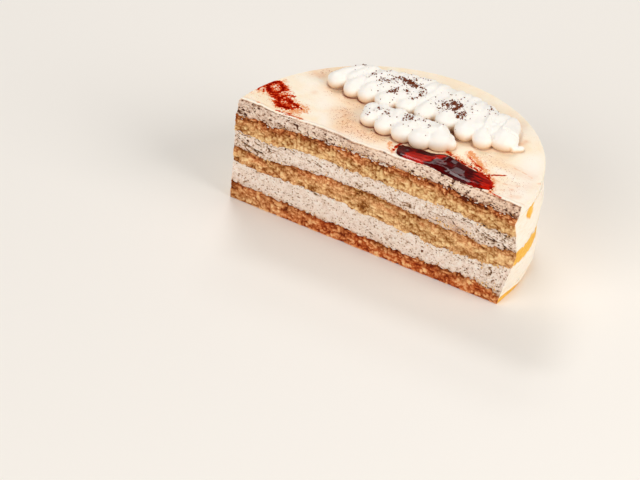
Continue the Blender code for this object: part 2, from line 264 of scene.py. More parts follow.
def unit_outline(cut_count, arc_count):
    """Half a disc of radius 1, anticlockwise from the cut's left end: across, back, outward."""
    along = np.linspace(-1, 1, cut_count + 1)
    angle = np.linspace(0, np.pi, arc_count + 1)[1:-1]
    across = np.concatenate([along, np.cos(angle)])
    back = np.concatenate([0 * along, np.sin(angle)])
    out = np.concatenate(
        [np.stack([0 * along, 0 * along - 1], 1), np.stack([np.cos(angle), np.sin(angle)], 1)]
    )
    out[[0, cut_count]] = CORNERS_OUTWARD
    return across, back, out


def seam_height(number, across, back):
    """Height of a layer's upper seam, ragged where it shows."""
    heights = np.array(LAYERS[number][1])
    mean = heights.mean()
    places = np.stack([across, back, 0 * across], 1) * RIM_RADIUS
    ragged = 0.00080 * noise(places, 0.0048, number + 5) + 0.00072 * noise(places, 0.0021, number)
    ragged += 0.00030 * noise(places, 0.0009, number + 3)
    if np.ptp(heights) == 0:
        return mean + 0.3 * ragged
    ragged *= 1 + 0.5 * ramp_to(across, 0.0, 0.6)
    steps = len(heights) - 1
    place = (across + 1) / 2 * steps
    step = np.minimum(place.astype(int), steps - 1)
    on_cut = heights[step] + (heights[step + 1] - heights[step]) * ease(place - step) - mean
    fade = np.exp(-((back / SEAM_FADE) ** 2))
    ripple = np.sin(SEAM_RIPPLE_TURNS * across + SEAM_RIPPLE_SHIFT * number)
    return mean + on_cut * fade + SEAM_RIPPLE * ripple * (1 - fade) + ragged


# ---------------------------------------------------------------- meshes


def add_object(name, data):
    made = bpy.data.objects.new(name, data)
    bpy.context.scene.collection.objects.link(made)
    return made


def make_piece(name, points, faces, look, slot, nodes=(), masks=None, sharp=None):
    """A piece of the cake from points in cake places, with a value per point for each mask."""
    mesh = bpy.data.meshes.new(name)
    mesh.from_pydata((np.asarray(points) + SHIFT).tolist(), [], faces)
    mesh.update()
    for mask, values in (masks or {}).items():
        held = mesh.attributes.new(mask, "FLOAT", "POINT")
        held.data.foreach_set("value", np.asarray(values, np.float32))
    mesh.materials.append(look)
    mesh.shade_smooth()
    if sharp:
        mesh.set_sharp_from_angle(angle=math.radians(sharp))
    piece = add_object(name, mesh)
    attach(piece, "root")
    if nodes:
        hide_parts(*nodes)
    return piece


def band_faces(lower, upper):
    """Quads from one closed loop of points up to another."""
    return np.stack([lower, np.roll(lower, -1), np.roll(upper, -1), upper], 1)


def wall_faces(levels, count):
    """Quads between closed loops of count points, from the lowest loop up."""
    loops = np.arange(levels * count).reshape(levels, count)
    return np.concatenate([band_faces(*pair) for pair in zip(loops, loops[1:])]).tolist()


# ---------------------------------------------------------------- materials


def colour(red, green, blue):
    """A display colour of 0 to 255 as the light that it stands for."""
    shares = np.array((red, green, blue)) / 255
    linear = np.where(shares <= 0.04045, shares / 12.92, ((shares + 0.055) / 1.055) ** 2.4)
    return (*linear.tolist(), 1.0)


class Look:
    """A node material that is being put together. Its colours are display colours."""

    def __init__(self, name):
        self.material = bpy.data.materials.new(name)
        self.material.use_nodes = True
        self.tree = self.material.node_tree
        self.shader = self.tree.nodes["Principled BSDF"]
        self.place = self.tree.nodes.new("ShaderNodeTexCoord").outputs["Object"]

    def node(self, kind, inputs, **settings):
        made = self.tree.nodes.new(kind)
        for key, value in settings.items():
            setattr(made, key, value)
        for socket, value in inputs.items():
            self.feed(made.inputs[socket], value)
        return made

    def feed(self, socket, value):
        if isinstance(value, bpy.types.NodeSocket):
            self.tree.links.new(value, socket)
        else:
            socket.default_value = colour(*value) if socket.type == "RGBA" else value

    def mask(self, name):
        return self.node("ShaderNodeAttribute", {}, attribute_name=name).outputs["Fac"]

    def noise(self, size, detail=2.0, roughness=0.5, stretch=None, distortion=0.0):
        place = self.place
        if stretch:
            place = self.node("ShaderNodeMapping", {"Vector": place, "Scale": stretch}).outputs[0]
        inputs = {"Vector": place, "Scale": 1 / size, "Detail": detail}
        inputs |= {"Roughness": roughness, "Distortion": distortion}
        return self.node("ShaderNodeTexNoise", inputs).outputs["Fac"]

    def specks(self, size):
        """Distance to scattered points, as a share of their spacing, and each point's chance."""
        made = self.node("ShaderNodeTexVoronoi", {"Vector": self.place, "Scale": 1 / size})
        chance = self.node("ShaderNodeSeparateColor", {"Color": made.outputs["Color"]})
        return made.outputs["Distance"], chance.outputs[0]

    def math(self, operation, a, b, clamp=False):
        made = self.node("ShaderNodeMath", {0: a, 1: b}, operation=operation, use_clamp=clamp)
        return made.outputs[0]

    def add(self, a, b):
        return self.math("ADD", a, b)

    def times(self, a, b, clamp=False):
        return self.math("MULTIPLY", a, b, clamp)

    def remap(self, value, low, high, to_low=0.0, to_high=1.0, kind="SMOOTHSTEP"):
        inputs = {"Value": value, 1: low, 2: high, 3: to_low, 4: to_high}
        return self.node("ShaderNodeMapRange", inputs, interpolation_type=kind).outputs[0]

    def linear(self, *values):
        return self.remap(*values, kind="LINEAR")

    def mix(self, share, a, b):
        return self.node("ShaderNodeMix", {0: share, 6: a, 7: b}, data_type="RGBA").outputs[2]

    def ramp(self, value, stops):
        """The colour for a value, from stops that are each a place and a display colour."""
        made = self.node("ShaderNodeValToRGB", {"Fac": value})
        elements = made.color_ramp.elements
        while len(elements) < len(stops):
            elements.new(0.5)
        for element, (at, *shade) in zip(elements, stops):
            element.position = at
            element.color = colour(*shade)
        return made.outputs["Color"]

    def bump(self, height, distance, strength):
        inputs = {"Height": height, "Distance": distance, "Strength": strength}
        self.feed(self.shader.inputs["Normal"], self.node("ShaderNodeBump", inputs).outputs[0])

    def finish(self, tone, rough, specular, soft=None):
        """The material, with soft as the weight, radius and scale of light below the surface."""
        values = {"Base Color": tone, "Roughness": rough, "Specular IOR Level": specular}
        for setting, value in zip(("Weight", "Radius", "Scale"), soft or ()):
            values["Subsurface " + setting] = value
        for socket, value in values.items():
            self.feed(self.shader.inputs[socket], value)
        return self.material


# Colours along a tone of 0 to 1, each stop as its tone, red, green and blue.
CUT_CREAM = ((0, 72, 34, 8), (0.26, 164, 127, 92), (0.58, 236, 216, 201), (0.95, 252, 248, 241))
SOAKED_CREAM = ((0.1, 78, 28, 8), (0.4, 152, 96, 62), (0.8, 232, 190, 152))
CREAM_COAT = ((0.25, 244, 227, 206), (0.5, 251, 239, 224), (0.8, 254, 246, 236))
SPONGE_COAT = ((0.25, 244, 226, 204), (0.5, 250, 238, 222), (0.8, 253, 245, 233))
SPONGE_SKIN = ((0.25, 228, 158, 66), (0.5, 245, 187, 80), (0.8, 250, 208, 116))
YELLOW_SPONGE = (
    (0.02, 88, 34, 2), (0.26, 152, 92, 40), (0.50, 202, 154, 100), (0.72, 229, 190, 134),
    (0.95, 246, 217, 164),
)
RED_SPONGE = (
    (0.02, 72, 8, 0), (0.26, 138, 46, 8), (0.50, 188, 94, 42), (0.72, 222, 146, 92),
    (0.95, 243, 196, 138),
)
RED_SMEAR = ((0.3, 236, 146, 80), (0.48, 222, 84, 36), (0.72, 184, 28, 6), (1, 124, 6, 0))
COCOA = ((0.3, 78, 32, 14), (0.55, 124, 60, 30), (0.8, 182, 110, 66))
CRUMB = ((0.25, 150, 90, 42), (0.45, 222, 168, 100), (0.75, 252, 226, 160))


def cut_tone(look, size, swing):
    """The tone of a cut face with its fine grain, and that grain."""
    fine = look.noise(size, 3.0, 0.65)
    return look.add(look.mask("tone"), look.linear(fine, 0.3, 0.7, -swing, swing)), fine


def cut_cream(look):
    """The speckled colour of cream on the cut, and its fine grain."""
    tone, fine = cut_tone(look, 0.0005, 0.10)
    plain = look.ramp(tone, CUT_CREAM)
    return look.mix(look.mask("brown"), plain, look.ramp(tone, SOAKED_CREAM)), fine


def coat_colour(look, stops):
    """The streaked cream coat of the round side, with its brown smears."""
    streak = look.noise(0.006, 4.0, 0.6, (1.0, 1.0, 5.0), 0.4)
    smear = look.mix(streak, (150, 88, 50), (214, 160, 112))
    return look.mix(look.mask("stain"), look.ramp(streak, stops), smear)


def dust_specks(look, spacing, largest, edge):
    """Specks of cocoa dust, larger where the dust is thicker."""
    away, chance = look.specks(spacing)
    size = look.times(look.times(chance, look.mask("dust")), largest)
    return look.remap(look.math("SUBTRACT", away, size), edge, 0.02, 1.0, 0.0)


def sponge_look():
    look = Look("sponge")
    tone, fine = cut_tone(look, 0.0006, 0.07)
    crumb = look.mix(look.mask("soaked"), look.ramp(tone, YELLOW_SPONGE), look.ramp(tone, RED_SPONGE))
    skin = look.ramp(look.noise(0.004, 4.0, 0.6, (1.0, 1.0, 2.2)), SPONGE_SKIN)
    bare = look.mix(look.mask("skin"), crumb, skin)
    cover = look.mask("coat")
    look.bump(look.add(fine, look.noise(0.0015)), 0.00025, 0.4)
    tone = look.mix(cover, bare, coat_colour(look, SPONGE_COAT))
    rough = look.linear(cover, 0.0, 1.0, 0.92, 0.55)
    return look.finish(tone, rough, 0.14, (0.12, (0.6, 0.35, 0.2), 0.0012))


def cream_look():
    look = Look("cream")
    cut, fine = cut_cream(look)
    away, chance = look.specks(0.0011)
    speck = look.math("LESS_THAN", away, look.linear(chance, 0.7, 1.0, 0.0, 0.28))
    # Dark specks on the round side's coat: painted shade of pits that the mesh does not have.
    pit_shade = look.times(speck, look.mask("pit_shade"))
    coat = look.mix(pit_shade, coat_colour(look, CREAM_COAT), (150, 120, 96))
    look.bump(fine, 0.0002, 0.5)
    tone = look.mix(look.mask("coat"), cut, coat)
    return look.finish(tone, 0.6, 0.3, (0.25, (1.0, 0.7, 0.5), 0.0015))


def glaze_look():
    look = Look("glaze")
    cloud = look.noise(0.018, 4.0, 0.55, None, 0.6)
    wisp = look.noise(0.007, 5.0, 0.6, (1.0, 1.6, 1.0), 0.8)
    tone = look.mix(look.remap(cloud, 0.3, 0.7), (250, 226, 191), (252, 238, 217))
    tone = look.mix(look.remap(wisp, 0.62, 0.78, 0.0, 0.35), tone, (240, 206, 160))
    # Whiter glaze, with painted highlights along the cut and on the torn edge's lip.
    tone = look.mix(look.mask("white"), tone, (254, 244, 231))
    faint = look.linear(wisp, 0.25, 0.65, 0.35, 1.1)
    # Warm tint: real stains along the rust paths, and painted shade round the strokes' feet and in the
    # crease behind the lip.
    warm_tint_and_shade = look.times(look.times(look.mask("rust_tint_and_shade"), 0.66), faint, True)
    tone = look.mix(warm_tint_and_shade, tone, (230, 162, 96))
    dust = look.times(dust_specks(look, 0.0010, 0.56, -0.06), 0.85)
    tone = look.mix(dust, tone, (182, 96, 46))

    # Splashes and spray break up the orange and the red.
    splash = look.noise(0.0030, 3.0, 0.6, None, 1.0)
    spray = look.noise(0.0010, 2.0, 0.6, None, 0.5)
    splashes = look.linear(splash, 0.3, 0.7, -0.20, 0.22)
    uneven = look.times(look.add(splashes, look.linear(spray, 0.3, 0.7, -0.22, 0.24)), 1.5)
    haze = look.times(uneven, look.remap(look.mask("orange"), 0.03, 0.30))
    orange = look.remap(look.add(look.mask("orange"), haze), 0.12, 0.80)
    tone = look.mix(orange, tone, (231, 146, 74))
    spread_out = look.times(uneven, look.remap(look.mask("red"), 0.05, 0.40))
    force = look.add(look.mask("red"), spread_out)
    wet = look.remap(force, 0.26, 0.40)
    tone = look.mix(wet, tone, look.ramp(force, RED_SMEAR))
    # Painted contact shadow: a thin red-brown line where the piped strokes meet the glaze.
    foot_shadow = look.times(look.mask("foot_shadow"), look.linear(splash, 0.25, 0.6, 0.5, 1.3), True)
    tone = look.mix(foot_shadow, tone, (134, 50, 22))

    torn, fine = cut_cream(look)
    edge = look.mask("edge")
    relief = look.add(look.times(wisp, 1.5), look.add(look.noise(0.0007, 3.0, 0.6), wet))
    look.bump(look.add(relief, look.times(fine, edge)), 0.0003, 0.35)
    rough = look.linear(edge, 0.0, 1.0, 0.45, 0.6)
    specular = look.linear(wet, 0.0, 1.0, 0.35, 0.0)
    soft = look.linear(look.math("MAXIMUM", wet, edge), 0.0, 1.0, 0.2, 0.0)
    return look.finish(look.mix(edge, tone, torn), rough, specular, (soft, (1.0, 0.65, 0.4), 0.0015))


def piped_look():
    look = Look("piped_cream")
    dust = look.times(dust_specks(look, 0.0016, 0.3, -0.05), 0.8)
    white = look.mix(look.noise(0.006, 3.0, 0.5), (251, 244, 235), (255, 250, 244))
    # Painted shade: tan low on the strokes' walls and in the front grooves.
    low = look.mix(look.mask("low"), white, (235, 200, 160))
    look.bump(look.noise(0.0012, 3.0, 0.6), 0.00016, 0.4)
    tone = look.mix(dust, low, (134, 72, 42))
    return look.finish(tone, 0.5, 0.3, (0.3, (1.0, 0.85, 0.7), 0.002))


def jam_look():
    look = Look("jam")
    pulp = look.noise(0.0022, 4.0, 0.6, (0.35, 1.0, 1.0), 0.6)
    thin = look.add(look.mask("thin"), look.linear(pulp, 0.3, 0.7, -0.16, 0.16))
    deep = look.mix(look.remap(pulp, 0.45, 0.75), (60.5, 2.6, 3.3), (117.6, 3.3, 3.3))
    bright = look.mix(look.remap(pulp, 0.35, 0.65), (134.4, 6.6, 1.6), (200.4, 28.6, 6.6))
    look.bump(pulp, 0.0002, 0.03)
    return look.finish(look.mix(look.remap(thin, 0.25, 0.65), deep, bright), 0.05, 0.05)


def crumb_look(name, stops, size, detail, rough, strength):
    look = Look(name)
    grain = look.noise(size, detail, 0.7)
    look.bump(grain, 0.0003, strength)
    return look.finish(look.ramp(grain, stops), rough, 0.2)


# ---------------------------------------------------------------- layers

CUT_COUNT = 560
ARC_COUNT = 360
LEVEL_STEP = 0.00037
TOP_CREAM = 5
LAYER_SHARPNESS = 62


def dome(away, size):
    """A round hollow of this size round each point, from 0 at its edge to 1."""
    return np.sqrt(np.clip(1 - (away / size) ** 2, 0, 1))


def side_streaks(number, places):
    """Slow waves, short smears and fine level streaks of the coat on the round side."""
    wavy = noise(places, (0.016, 0.016, 0.5), number)
    smear = noise(places, (0.012, 0.012, 0.0016), number + 9)
    return wavy, smear, noise(places, (0.010, 0.010, 0.0009), number + 11)


def sponge_shades(number, level, across, height, broad, clump):
    """How brown each sponge is soaked, and how light it is, before its grain."""
    lowest = fall_to(level, 0.0, 0.15)
    if number == 0:
        soaked = 0.60 + 0.35 * ramp_to(across, -0.8, -0.2) + 0.35 * broad
        soaked = soaked - 0.30 * ramp_to(height, 0.5, 0.9) * ramp_to(across, -0.2, 0.2)
        tone = 0.495 - 0.05 * ramp_to(across, -0.9, 0.1) - 0.12 * ramp_to(height, 0.55, 1.0)
    elif number == 2:
        soaked = 0.18 + 0.18 * ramp_to(height, 0.5, 1.0) + 0.30 * broad + 0.25 * clump
        tone = 0.540 + 0.06 * np.sin(2.2 * across) - 0.14 * ramp_to(height, 0.62, 1.0) - 0.07 * lowest
    else:
        soaked = 0.10 + 0.50 * ramp_to(height, 0.35, 0.95) + 0.2 * broad + 0.25 * clump
        tone = 0.545 - 0.25 * ramp_to(height, 0.25, 0.90) - 0.06 * lowest
        spill = bell(across, 0.63, 0.15) * ramp_to(height, 0.5, 0.9)
        tone = tone - 0.03 * ramp_to(-across, 0.0, 0.4) - 0.24 * spill
    return np.clip(soaked, 0, 1), tone


def sponge_coat(number, level, across, back, wavy, smear):
    """Where cream covers each sponge on the round side."""
    if number == 0:
        corner = 0.0040 * bell(back, 0, 0.22)
        return ramp_to(level * 0.010 + 0.0014 * wavy + 0.0008 * smear - corner, 0.0022, 0.0034)
    if number == 2:
        return ramp_to(np.abs(level - 0.52) + 0.06 * wavy + 0.04 * smear, 0.42, 0.50)
    bare_patch = bell(back, 0.167, 0.046) * bell(level, 0.80, 0.48) * (across > 0)
    return ramp_to(1.0 + 0.25 * wavy + 0.2 * smear - 1.3 * bare_patch, 0.30, 0.50)


def sponge_detail(number, places, level, across, back, on_cut):
    """How far a sponge's wall stands out, and its masks."""

    def lumps(size, field):
        return noise(places, size, number + field)

    grains = np.abs(lumps((0.0026, 0.0026, 0.0019), 1)) + 0.6 * np.abs(lumps(0.0013, 2)) - 0.43
    fine = lumps(0.0007, 3)
    clump = lumps((0.0042, 0.0042, 0.0026), 4)
    broad = lumps((0.014, 0.014, 0.006), 5)
    big, big_chance = cells(places, (0.0046, 0.0046, 0.0030), number + 7)
    hollow = dome(big, 0.05 + 0.36 * big_chance**2)
    out = 0.00020 * broad + 0.00034 * clump + 0.00050 * grains + 0.00014 * fine - 0.00060 * hollow

    height = level + 0.20 * clump + 0.10 * broad + 0.08 * fine
    soaked, tone = sponge_shades(number, level, across, height, broad, clump)
    bright = ramp_to(clump + 0.6 * fine, 0.35, 0.75)
    crust = np.exp(-(1 - level) / 0.09) * ramp_to(clump + 0.7 * fine, -0.5, 0.3)
    # The tone is painted darker in the big hollows, for the shade that falls in them.
    tone = tone + 0.58 * grains + 0.17 * fine + 0.24 * clump + 0.13 * broad - 0.24 * hollow
    tone = tone + 0.06 * bright - 0.20 * crust

    skin = 1 - on_cut
    wavy, smear, streak = side_streaks(number, places)
    coat = sponge_coat(number, level, across, back, wavy, smear) * skin
    stain = skin * ramp_to(smear + 0.6 * wavy, 0.55, 0.95) * ramp_to(-across, -0.55, 0.1)
    stain = stain * (1 if number == 4 else 0.35)
    side_out = 0.00030 * coat + 0.00006 * streak * coat + 0.00012 * clump * (1 - coat)
    out = np.where(on_cut > 0.5, out, side_out - 0.00006 * fine)
    return out, {"tone": tone, "soaked": soaked, "skin": skin, "coat": coat, "stain": stain}


def torn_share(number, across):
    """How torn each cream is along the cut."""
    if number == TOP_CREAM:
        return 0.50 + 0.32 * ramp_to(-across, 0.2, 0.9)
    if number == 3:
        return 0.18 + 0.50 * ramp_to(-across, 0.62, 0.95) + 0.42 * ramp_to(across, 0.60, 0.95)
    return 0.06 + 0.16 * ramp_to(across, 0.6, 0.95)


def cream_cracks(number, places, ready, flaky):
    """Cracks that run level, swerve and slant, where the cream is ready for them, and slanted places."""
    top = number == TOP_CREAM
    swerve = [noise(places, 0.0055, field) for field in (31, 37, 41)]
    slope = 0.05 if top else 0.22
    slanted = places + 0.0016 * np.stack(swerve, 1) + np.outer(places[:, 0], (0.0, 0.0, slope))
    reach = 0.0040 if top else 0.0095
    ridge = np.abs(noise(slanted, (reach, reach, 0.0022), number + 8))
    crack = fall_to(ridge, 0.02, 0.11 if top else 0.15)
    crack *= ready * (0.35 + 0.65 * ramp_to(flaky, -0.4, 0.3))
    if top:
        crack *= ramp_to(noise(slanted, (0.0034, 0.0034, 0.0020), 22), -0.25, 0.25)
    return crack, slanted


def cream_slits(number, slanted, torn):
    """Short level slits, more of them where the cream is torn."""
    slit, chance = cells(slanted, (0.0056, 0.0056, 0.0021), number + 13)
    gate = 0.72 if number == TOP_CREAM else 0.95
    return fall_to(slit, 0.12, 0.30) * ramp_to(chance + 0.8 * torn, gate, gate + 0.2)


def cream_detail(number, places, level, across, on_cut):
    """How far a cream's wall stands out, and its masks."""
    top = number == TOP_CREAM
    speck, chance = cells(places, (0.0014, 0.0014, 0.0011), number + 1)
    pit = dome(speck, np.maximum(0.48 * ramp_to(chance, 0.15, 1.0), 0.02))
    grain = noise(places, 0.0009, number + 2)
    soft = noise(places, 0.0030, number + 4)
    patch = noise(places, (0.0070, 0.0070, 0.0040), number + 9)
    blob, blob_chance = cells(places, 0.0022, number + 5)
    light = fall_to(blob, 0.22, 0.42) * ramp_to(blob_chance, 0.6, 0.9)
    torn = torn_share(number, across)
    ready = ramp_to(patch + 1.5 * torn, 0.35, 1.05)
    crack, slanted = cream_cracks(number, places, ready, grain + 0.5 * soft)
    crack = np.maximum(crack, cream_slits(number, slanted, torn))
    out = 0.00024 * soft + 0.00014 * grain - 0.00034 * pit - 0.00080 * crack
    out += (0.00048 if top else 0.00026) * light + 0.00040 * torn * patch

    rough = 0.95 + 0.35 * ramp_to(across, 0.1, 0.8) + 0.35 * top
    # Painted shade and highlight: the tone is darker in the cracks and pits, for the shade in them, the
    # pits also standing for real dark specks, and lighter on the raised blobs as a painted highlight.
    tone = (0.655 if top else 0.636) + 0.07 * soft - (0.80 + 0.2 * top) * crack
    tone = tone + rough * (0.19 * grain - 0.48 * pit + 0.13 * light)
    tone = tone - 0.06 * ramp_to(np.abs(across), 0.6, 0.9) - 0.03 * (number == 3)
    if top:
        middle = ramp_to(across, -0.5, -0.1)
        low = fall_to(level + 0.30 * soft - 0.10 * middle, 0.02, 0.55)
        low = low * (0.6 + 0.4 * middle) * ramp_to(patch + 0.9 * grain + 0.4 * middle, -0.1, 0.6)
        broad = noise(places, 0.012, number + 6)
        # The cracks are also painted browner, as shade.
        brown = np.maximum(0.34 + 0.24 * middle + 0.14 * broad, np.maximum(low, 0.8 * crack))
        tone = tone - 0.56 * low + 0.03 + 0.10 * middle + 0.18 * patch * middle
    else:
        brown = np.exp(-level / 0.10) * ramp_to(soft + grain, -0.3, 0.5)
        tone = tone - 0.22 * brown
    if number == 3:
        spill = bell(across, 0.58, 0.17) * fall_to(level, 0.15, 0.75)
        brown = np.maximum(brown, 0.85 * spill * ramp_to(patch + 0.8 * grain, -0.1, 0.6))

    skin = 1 - on_cut
    wavy, smear, streak = side_streaks(number, places)
    stain = skin * ramp_to(smear + 0.5 * wavy, 0.6, 1.0) * ramp_to(-across, -0.55, 0.1)
    stain = stain * (0.8 if top else 0.25)
    # Where the coat gets dark specks of painted pit shade.
    pit_shade = skin * (0.9 if top else 0.35)
    out = np.where(on_cut > 0.5, out, 0.00008 * streak + 0.00016 * soft)
    return out, {"tone": tone, "brown": brown, "coat": skin, "stain": stain, "pit_shade": pit_shade}


def add_layer(number, looks):
    """A layer with a detailed wall, and a plain plateau a little inside its rim at each end."""
    name = LAYERS[number][0]
    kind = name.split("_")[0]
    across, back, outward = unit_outline(CUT_COUNT, ARC_COUNT)
    count = len(across)
    above = seam_height(number, across, back) - SEAM_GAP / 2
    below = seam_height(number - 1, across, back) + SEAM_GAP / 2 if number else 0 * above
    levels = int((above - below).max() / LEVEL_STEP) + 2
    share = np.linspace(0, 1, levels)[:, None]
    z = below + (above - below) * share
    places = spread(across[None, :], back[None, :], z).reshape(-1, 3)
    level = np.repeat(share[:, 0], count)
    on_cut = np.tile(np.arange(count) <= CUT_COUNT, levels)
    if kind == "sponge":
        where = np.tile(across, levels), np.tile(back, levels)
        out, masks = sponge_detail(number, places, level, *where, on_cut)
    else:
        out, masks = cream_detail(number, places, level, np.tile(across, levels), on_cut)
    push = np.tile(outward, (levels, 1)) * out[:, None]
    if number == 0:
        push[:count] = push[:count] * 0.5 - outward * 0.0003
    wall = places + np.concatenate([push, 0 * push[:, :1]], 1)

    inner_back = PLATEAU_DEPTH + (back - PLATEAU_DEPTH) * PLATEAU
    rings = [wall]
    faces = wall_faces(levels, count)
    total = len(wall)
    for first, height, step in ((total - count, above.mean(), 1), (0, below.mean(), -1)):
        rings.append(spread(across * PLATEAU, inner_back, height + 0 * across))
        ring = np.arange(first, first + count)
        inside = np.arange(total, total + count)
        total += count
        faces += band_faces(ring, inside)[:, ::step].tolist()
        faces.append(inside[::step].tolist())
    for mask, values in masks.items():
        rest = np.full(2 * count, 0.5 if mask in ("tone", "soaked") else 0.0)
        masks[mask] = np.concatenate([values, rest])
    points = np.concatenate(rings)
    make_piece(name + "_looks", points, faces, looks[kind], kind, (name,), masks, LAYER_SHARPNESS)


# ---------------------------------------------------------------- glaze

GLAZE_ACROSS = 440
GLAZE_BACK = 190
TORN_DROP = 0.0012
# Where each line along the torn edge lies behind it, and how wide it is.
LIP = (0.0010, 0.0010)
CREASE = (0.0031, 0.0004)
SHADE = (-0.0006, 0.0004)
LIP_HEIGHT = 0.00034
CREASE_DEPTH = 0.00010
# How far behind the cut the glaze is torn away, along X, in millimetres.
TORN_EDGE = (
    (-101, 1), (-92, 1.5), (-86, 1.4), (-79, 0.6), (-74, 0.2), (-68, 0.8), (-60, 1.4), (-56, 1), (-51, 2),
    (-43, 2.6), (-31, 2.8), (-25, 2.1), (-17, 1), (-11, 1.9), (-5, 2.1), (0, 2.9), (6, 3), (11, 2.6),
    (17, 2.9), (22, 4), (26, 4.8), (34, 5.4), (39, 4.2), (45, 3.5), (51, 2.6), (64, 2.5), (71, 2.8),
    (76, 2.6), (82, 2.4), (92, 2), (98, 1.6), (101, 1),
)
# Lines of colour on the glaze: width, strength, then X and Y of points. Lengths are in millimetres.
RED_PATHS = (
    (1.7, 0.92, -94.8, 23.2, -91.7, 20, -88.4, 18.5, -86, 21.1, -84.4, 24.5),
    (1.7, 0.9, -84.4, 24.5, -85.5, 28.1, -89.2, 29.9, -92.4, 31.4, -94.5, 28.9),
    (2.2, 0.98, -95.2, 23.4, -91.7, 20, -88.5, 18.4),
    (2.2, 0.98, -89.6, 29.6, -87, 27.4, -84.4, 25),
    (1.8, 0.92, -94.7, 25, -94.4, 28.6, -92.4, 31),
    (0.9, 0.66, -95.4, 18.7, -93.2, 16.7),
    (0.9, 0.66, -97.7, 16, -97.7, 20.6, -96.6, 24),
    (3.6, 0.76, -87.9, 18.5, -85, 18.2, -82, 17.6),
    (3, 0.9, -85.8, 18.7, -81.6, 16.4, -80, 12.8, -77.9, 9.6),
    (2.1, 0.84, -81.6, 17.4, -79.6, 19.4, -76.8, 18.6, -72.3, 15.9, -67.5, 14.2),
    (1.2, 0.8, -67.5, 14.2, -64.1, 13.9),
    (2.2, 0.96, -77.9, 9.3, -74.9, 8.9, -71.5, 9.3, -69.3, 11.4, -67, 13.5),
    (1.9, 0.78, -80, 13.5, -77.2, 16.6, -73.8, 15.6, -73.4, 12.7, -75.6, 11.4),
    (5.6, 0.64, -84.5, 17.5, -79, 15.5, -73, 12.5),
    (9, 0.42, -92, 24, -82, 20, -74, 12),
    (1.7, 0.66, -79.2, 19.9, -79.2, 21.9, -77.3, 22.5, -75.2, 22.2),
    (0.8, 0.6, -68.5, 2.1, -62.8, 3.8, -56.8, 4.4),
    (0.8, 0.58, -75.2, 3.2, -69, 3.5, -65.6, 5.2),
    (0.8, 0.6, -82.7, 23.7, -82.7, 28),
    (1.3, 0.5, 32.8, 26.6, 37.7, 24.8, 40.5, 24.2),
    (1.4, 0.56, 40, 22.6, 47, 21.8, 56, 20.4, 62, 18.8),
    (2.6, 0.9, 62, 17.2, 67, 15.6, 71.5, 12.5, 73.5, 8.5),
    (1, 0.62, 57.7, 24.2, 59.5, 23),
    (0.8, 0.8, 62.9, 17.2, 68.1, 21.2, 74.1, 25.1),
    (1.6, 0.46, 47, 29, 52, 25.5, 56, 24),
    (1.2, 0.66, 6, 8.5, 5, 13, 5.5, 17),
    (0.9, 0.66, 76, 5, 81, 2.8, 85, 2.4),
)
ORANGE_PATHS = (
    (2.2, 0.75, 43.7, 34.3, 49, 31.4, 55.4, 27.9, 60.9, 22.4, 66.3, 18.3),
    (1.6, 0.6, 44, 31, 50, 27, 55, 23),
    (5, 0.35, 46, 32, 57, 26, 64, 20),
    (2.2, 0.8, -87.9, 16.7, -83.1, 16.7, -82.6, 20.8, -79.4, 21),
    (3, 0.7, -71.2, 12.1, -65.2, 10.9, -62.3, 13.1),
    (1.6, 0.6, -71.3, 4.8, -66, 4.5, -58.3, 3.9),
    (1, 0.8, -89.2, 4.1),
    (1, 0.8, -59.7, 13),
    (1, 0.6, -92, 10.3),
    (3, 0.55, 34, 26, 42, 25, 52, 22),
    (2.4, 0.62, 64, 20, 71, 16, 74.5, 10, 77, 3.5),
    (2, 0.6, 0, 14, 3, 9, 7, 5.5),
    (3.5, 0.35, -98, 12, -95, 22, -90, 34),
    (7.5, 0.72, -87, 20, -80, 17, -74, 12, -66, 12),
    (5, 0.5, -97, 22, -92, 26, -86, 28),
)
RUST_PATHS = (
    (9, 0.9, -41, 26, -36, 21, -31, 13.5, -22, 13.5, -12, 14),
    (6, 0.55, -63.4, 44.1, -57.9, 42.5, -50.4, 41, -45.4, 39, -38.8, 36.7),
    (4.5, 0.8, -80, 53, -76, 53.5, -75.5, 60),
    (4, 0.45, -71, 66, -60, 78),
    (10, 0.3, -15, 12, -2, 13),
    (2.2, 0.55, -68.2, 34.7),
    (5.5, 0.45, 58, 36, 66, 34, 75, 34, 87, 32.5),
    (0.8, 0.95, 74.5, 35.4, 78.5, 34.8),
    (0.8, 0.95, 80.5, 34.6, 83.5, 34),
    (0.8, 0.9, 85.5, 33.2, 88.5, 32.5),
    (0.8, 0.95, 80, 10, 82, 11),
    (0.8, 0.95, 84, 14.2, 85.8, 15.2),
    (0.8, 0.9, 72.5, 17, 74.8, 17.2),
    (0.8, 0.9, 78, 17, 80.2, 17.3),
    (0.8, 0.9, 85.4, 19.6, 87.4, 20.2),
    (0.9, 0.8, 94.6, 29.4, 96.2, 32.6),
    (2, 0.75, 63.7, 61, 64.5, 65),
    (3, 0.6, 89, 8, 92, 9.5),
    (7, 0.35, 70, 8, 84, 14, 92, 24),
    (4, 0.4, 40, 84, 52, 78),
)
DUST_PATHS = (
    (10, 1, -41, 26, -34, 17, -25, 12, -15, 12),
    (5, 0.9, -15, 12, -3, 13),
    (7, 0.7, -60, 41, -48, 39, -38, 36),
    (6, 0.8, -80, 53, -75, 60),
    (9, 0.75, 56, 36, 66, 30, 84, 20),
    (8, 0.7, 74, 6, 88, 14),
    (7, 0.6, -94, 8, -86, 8),
)
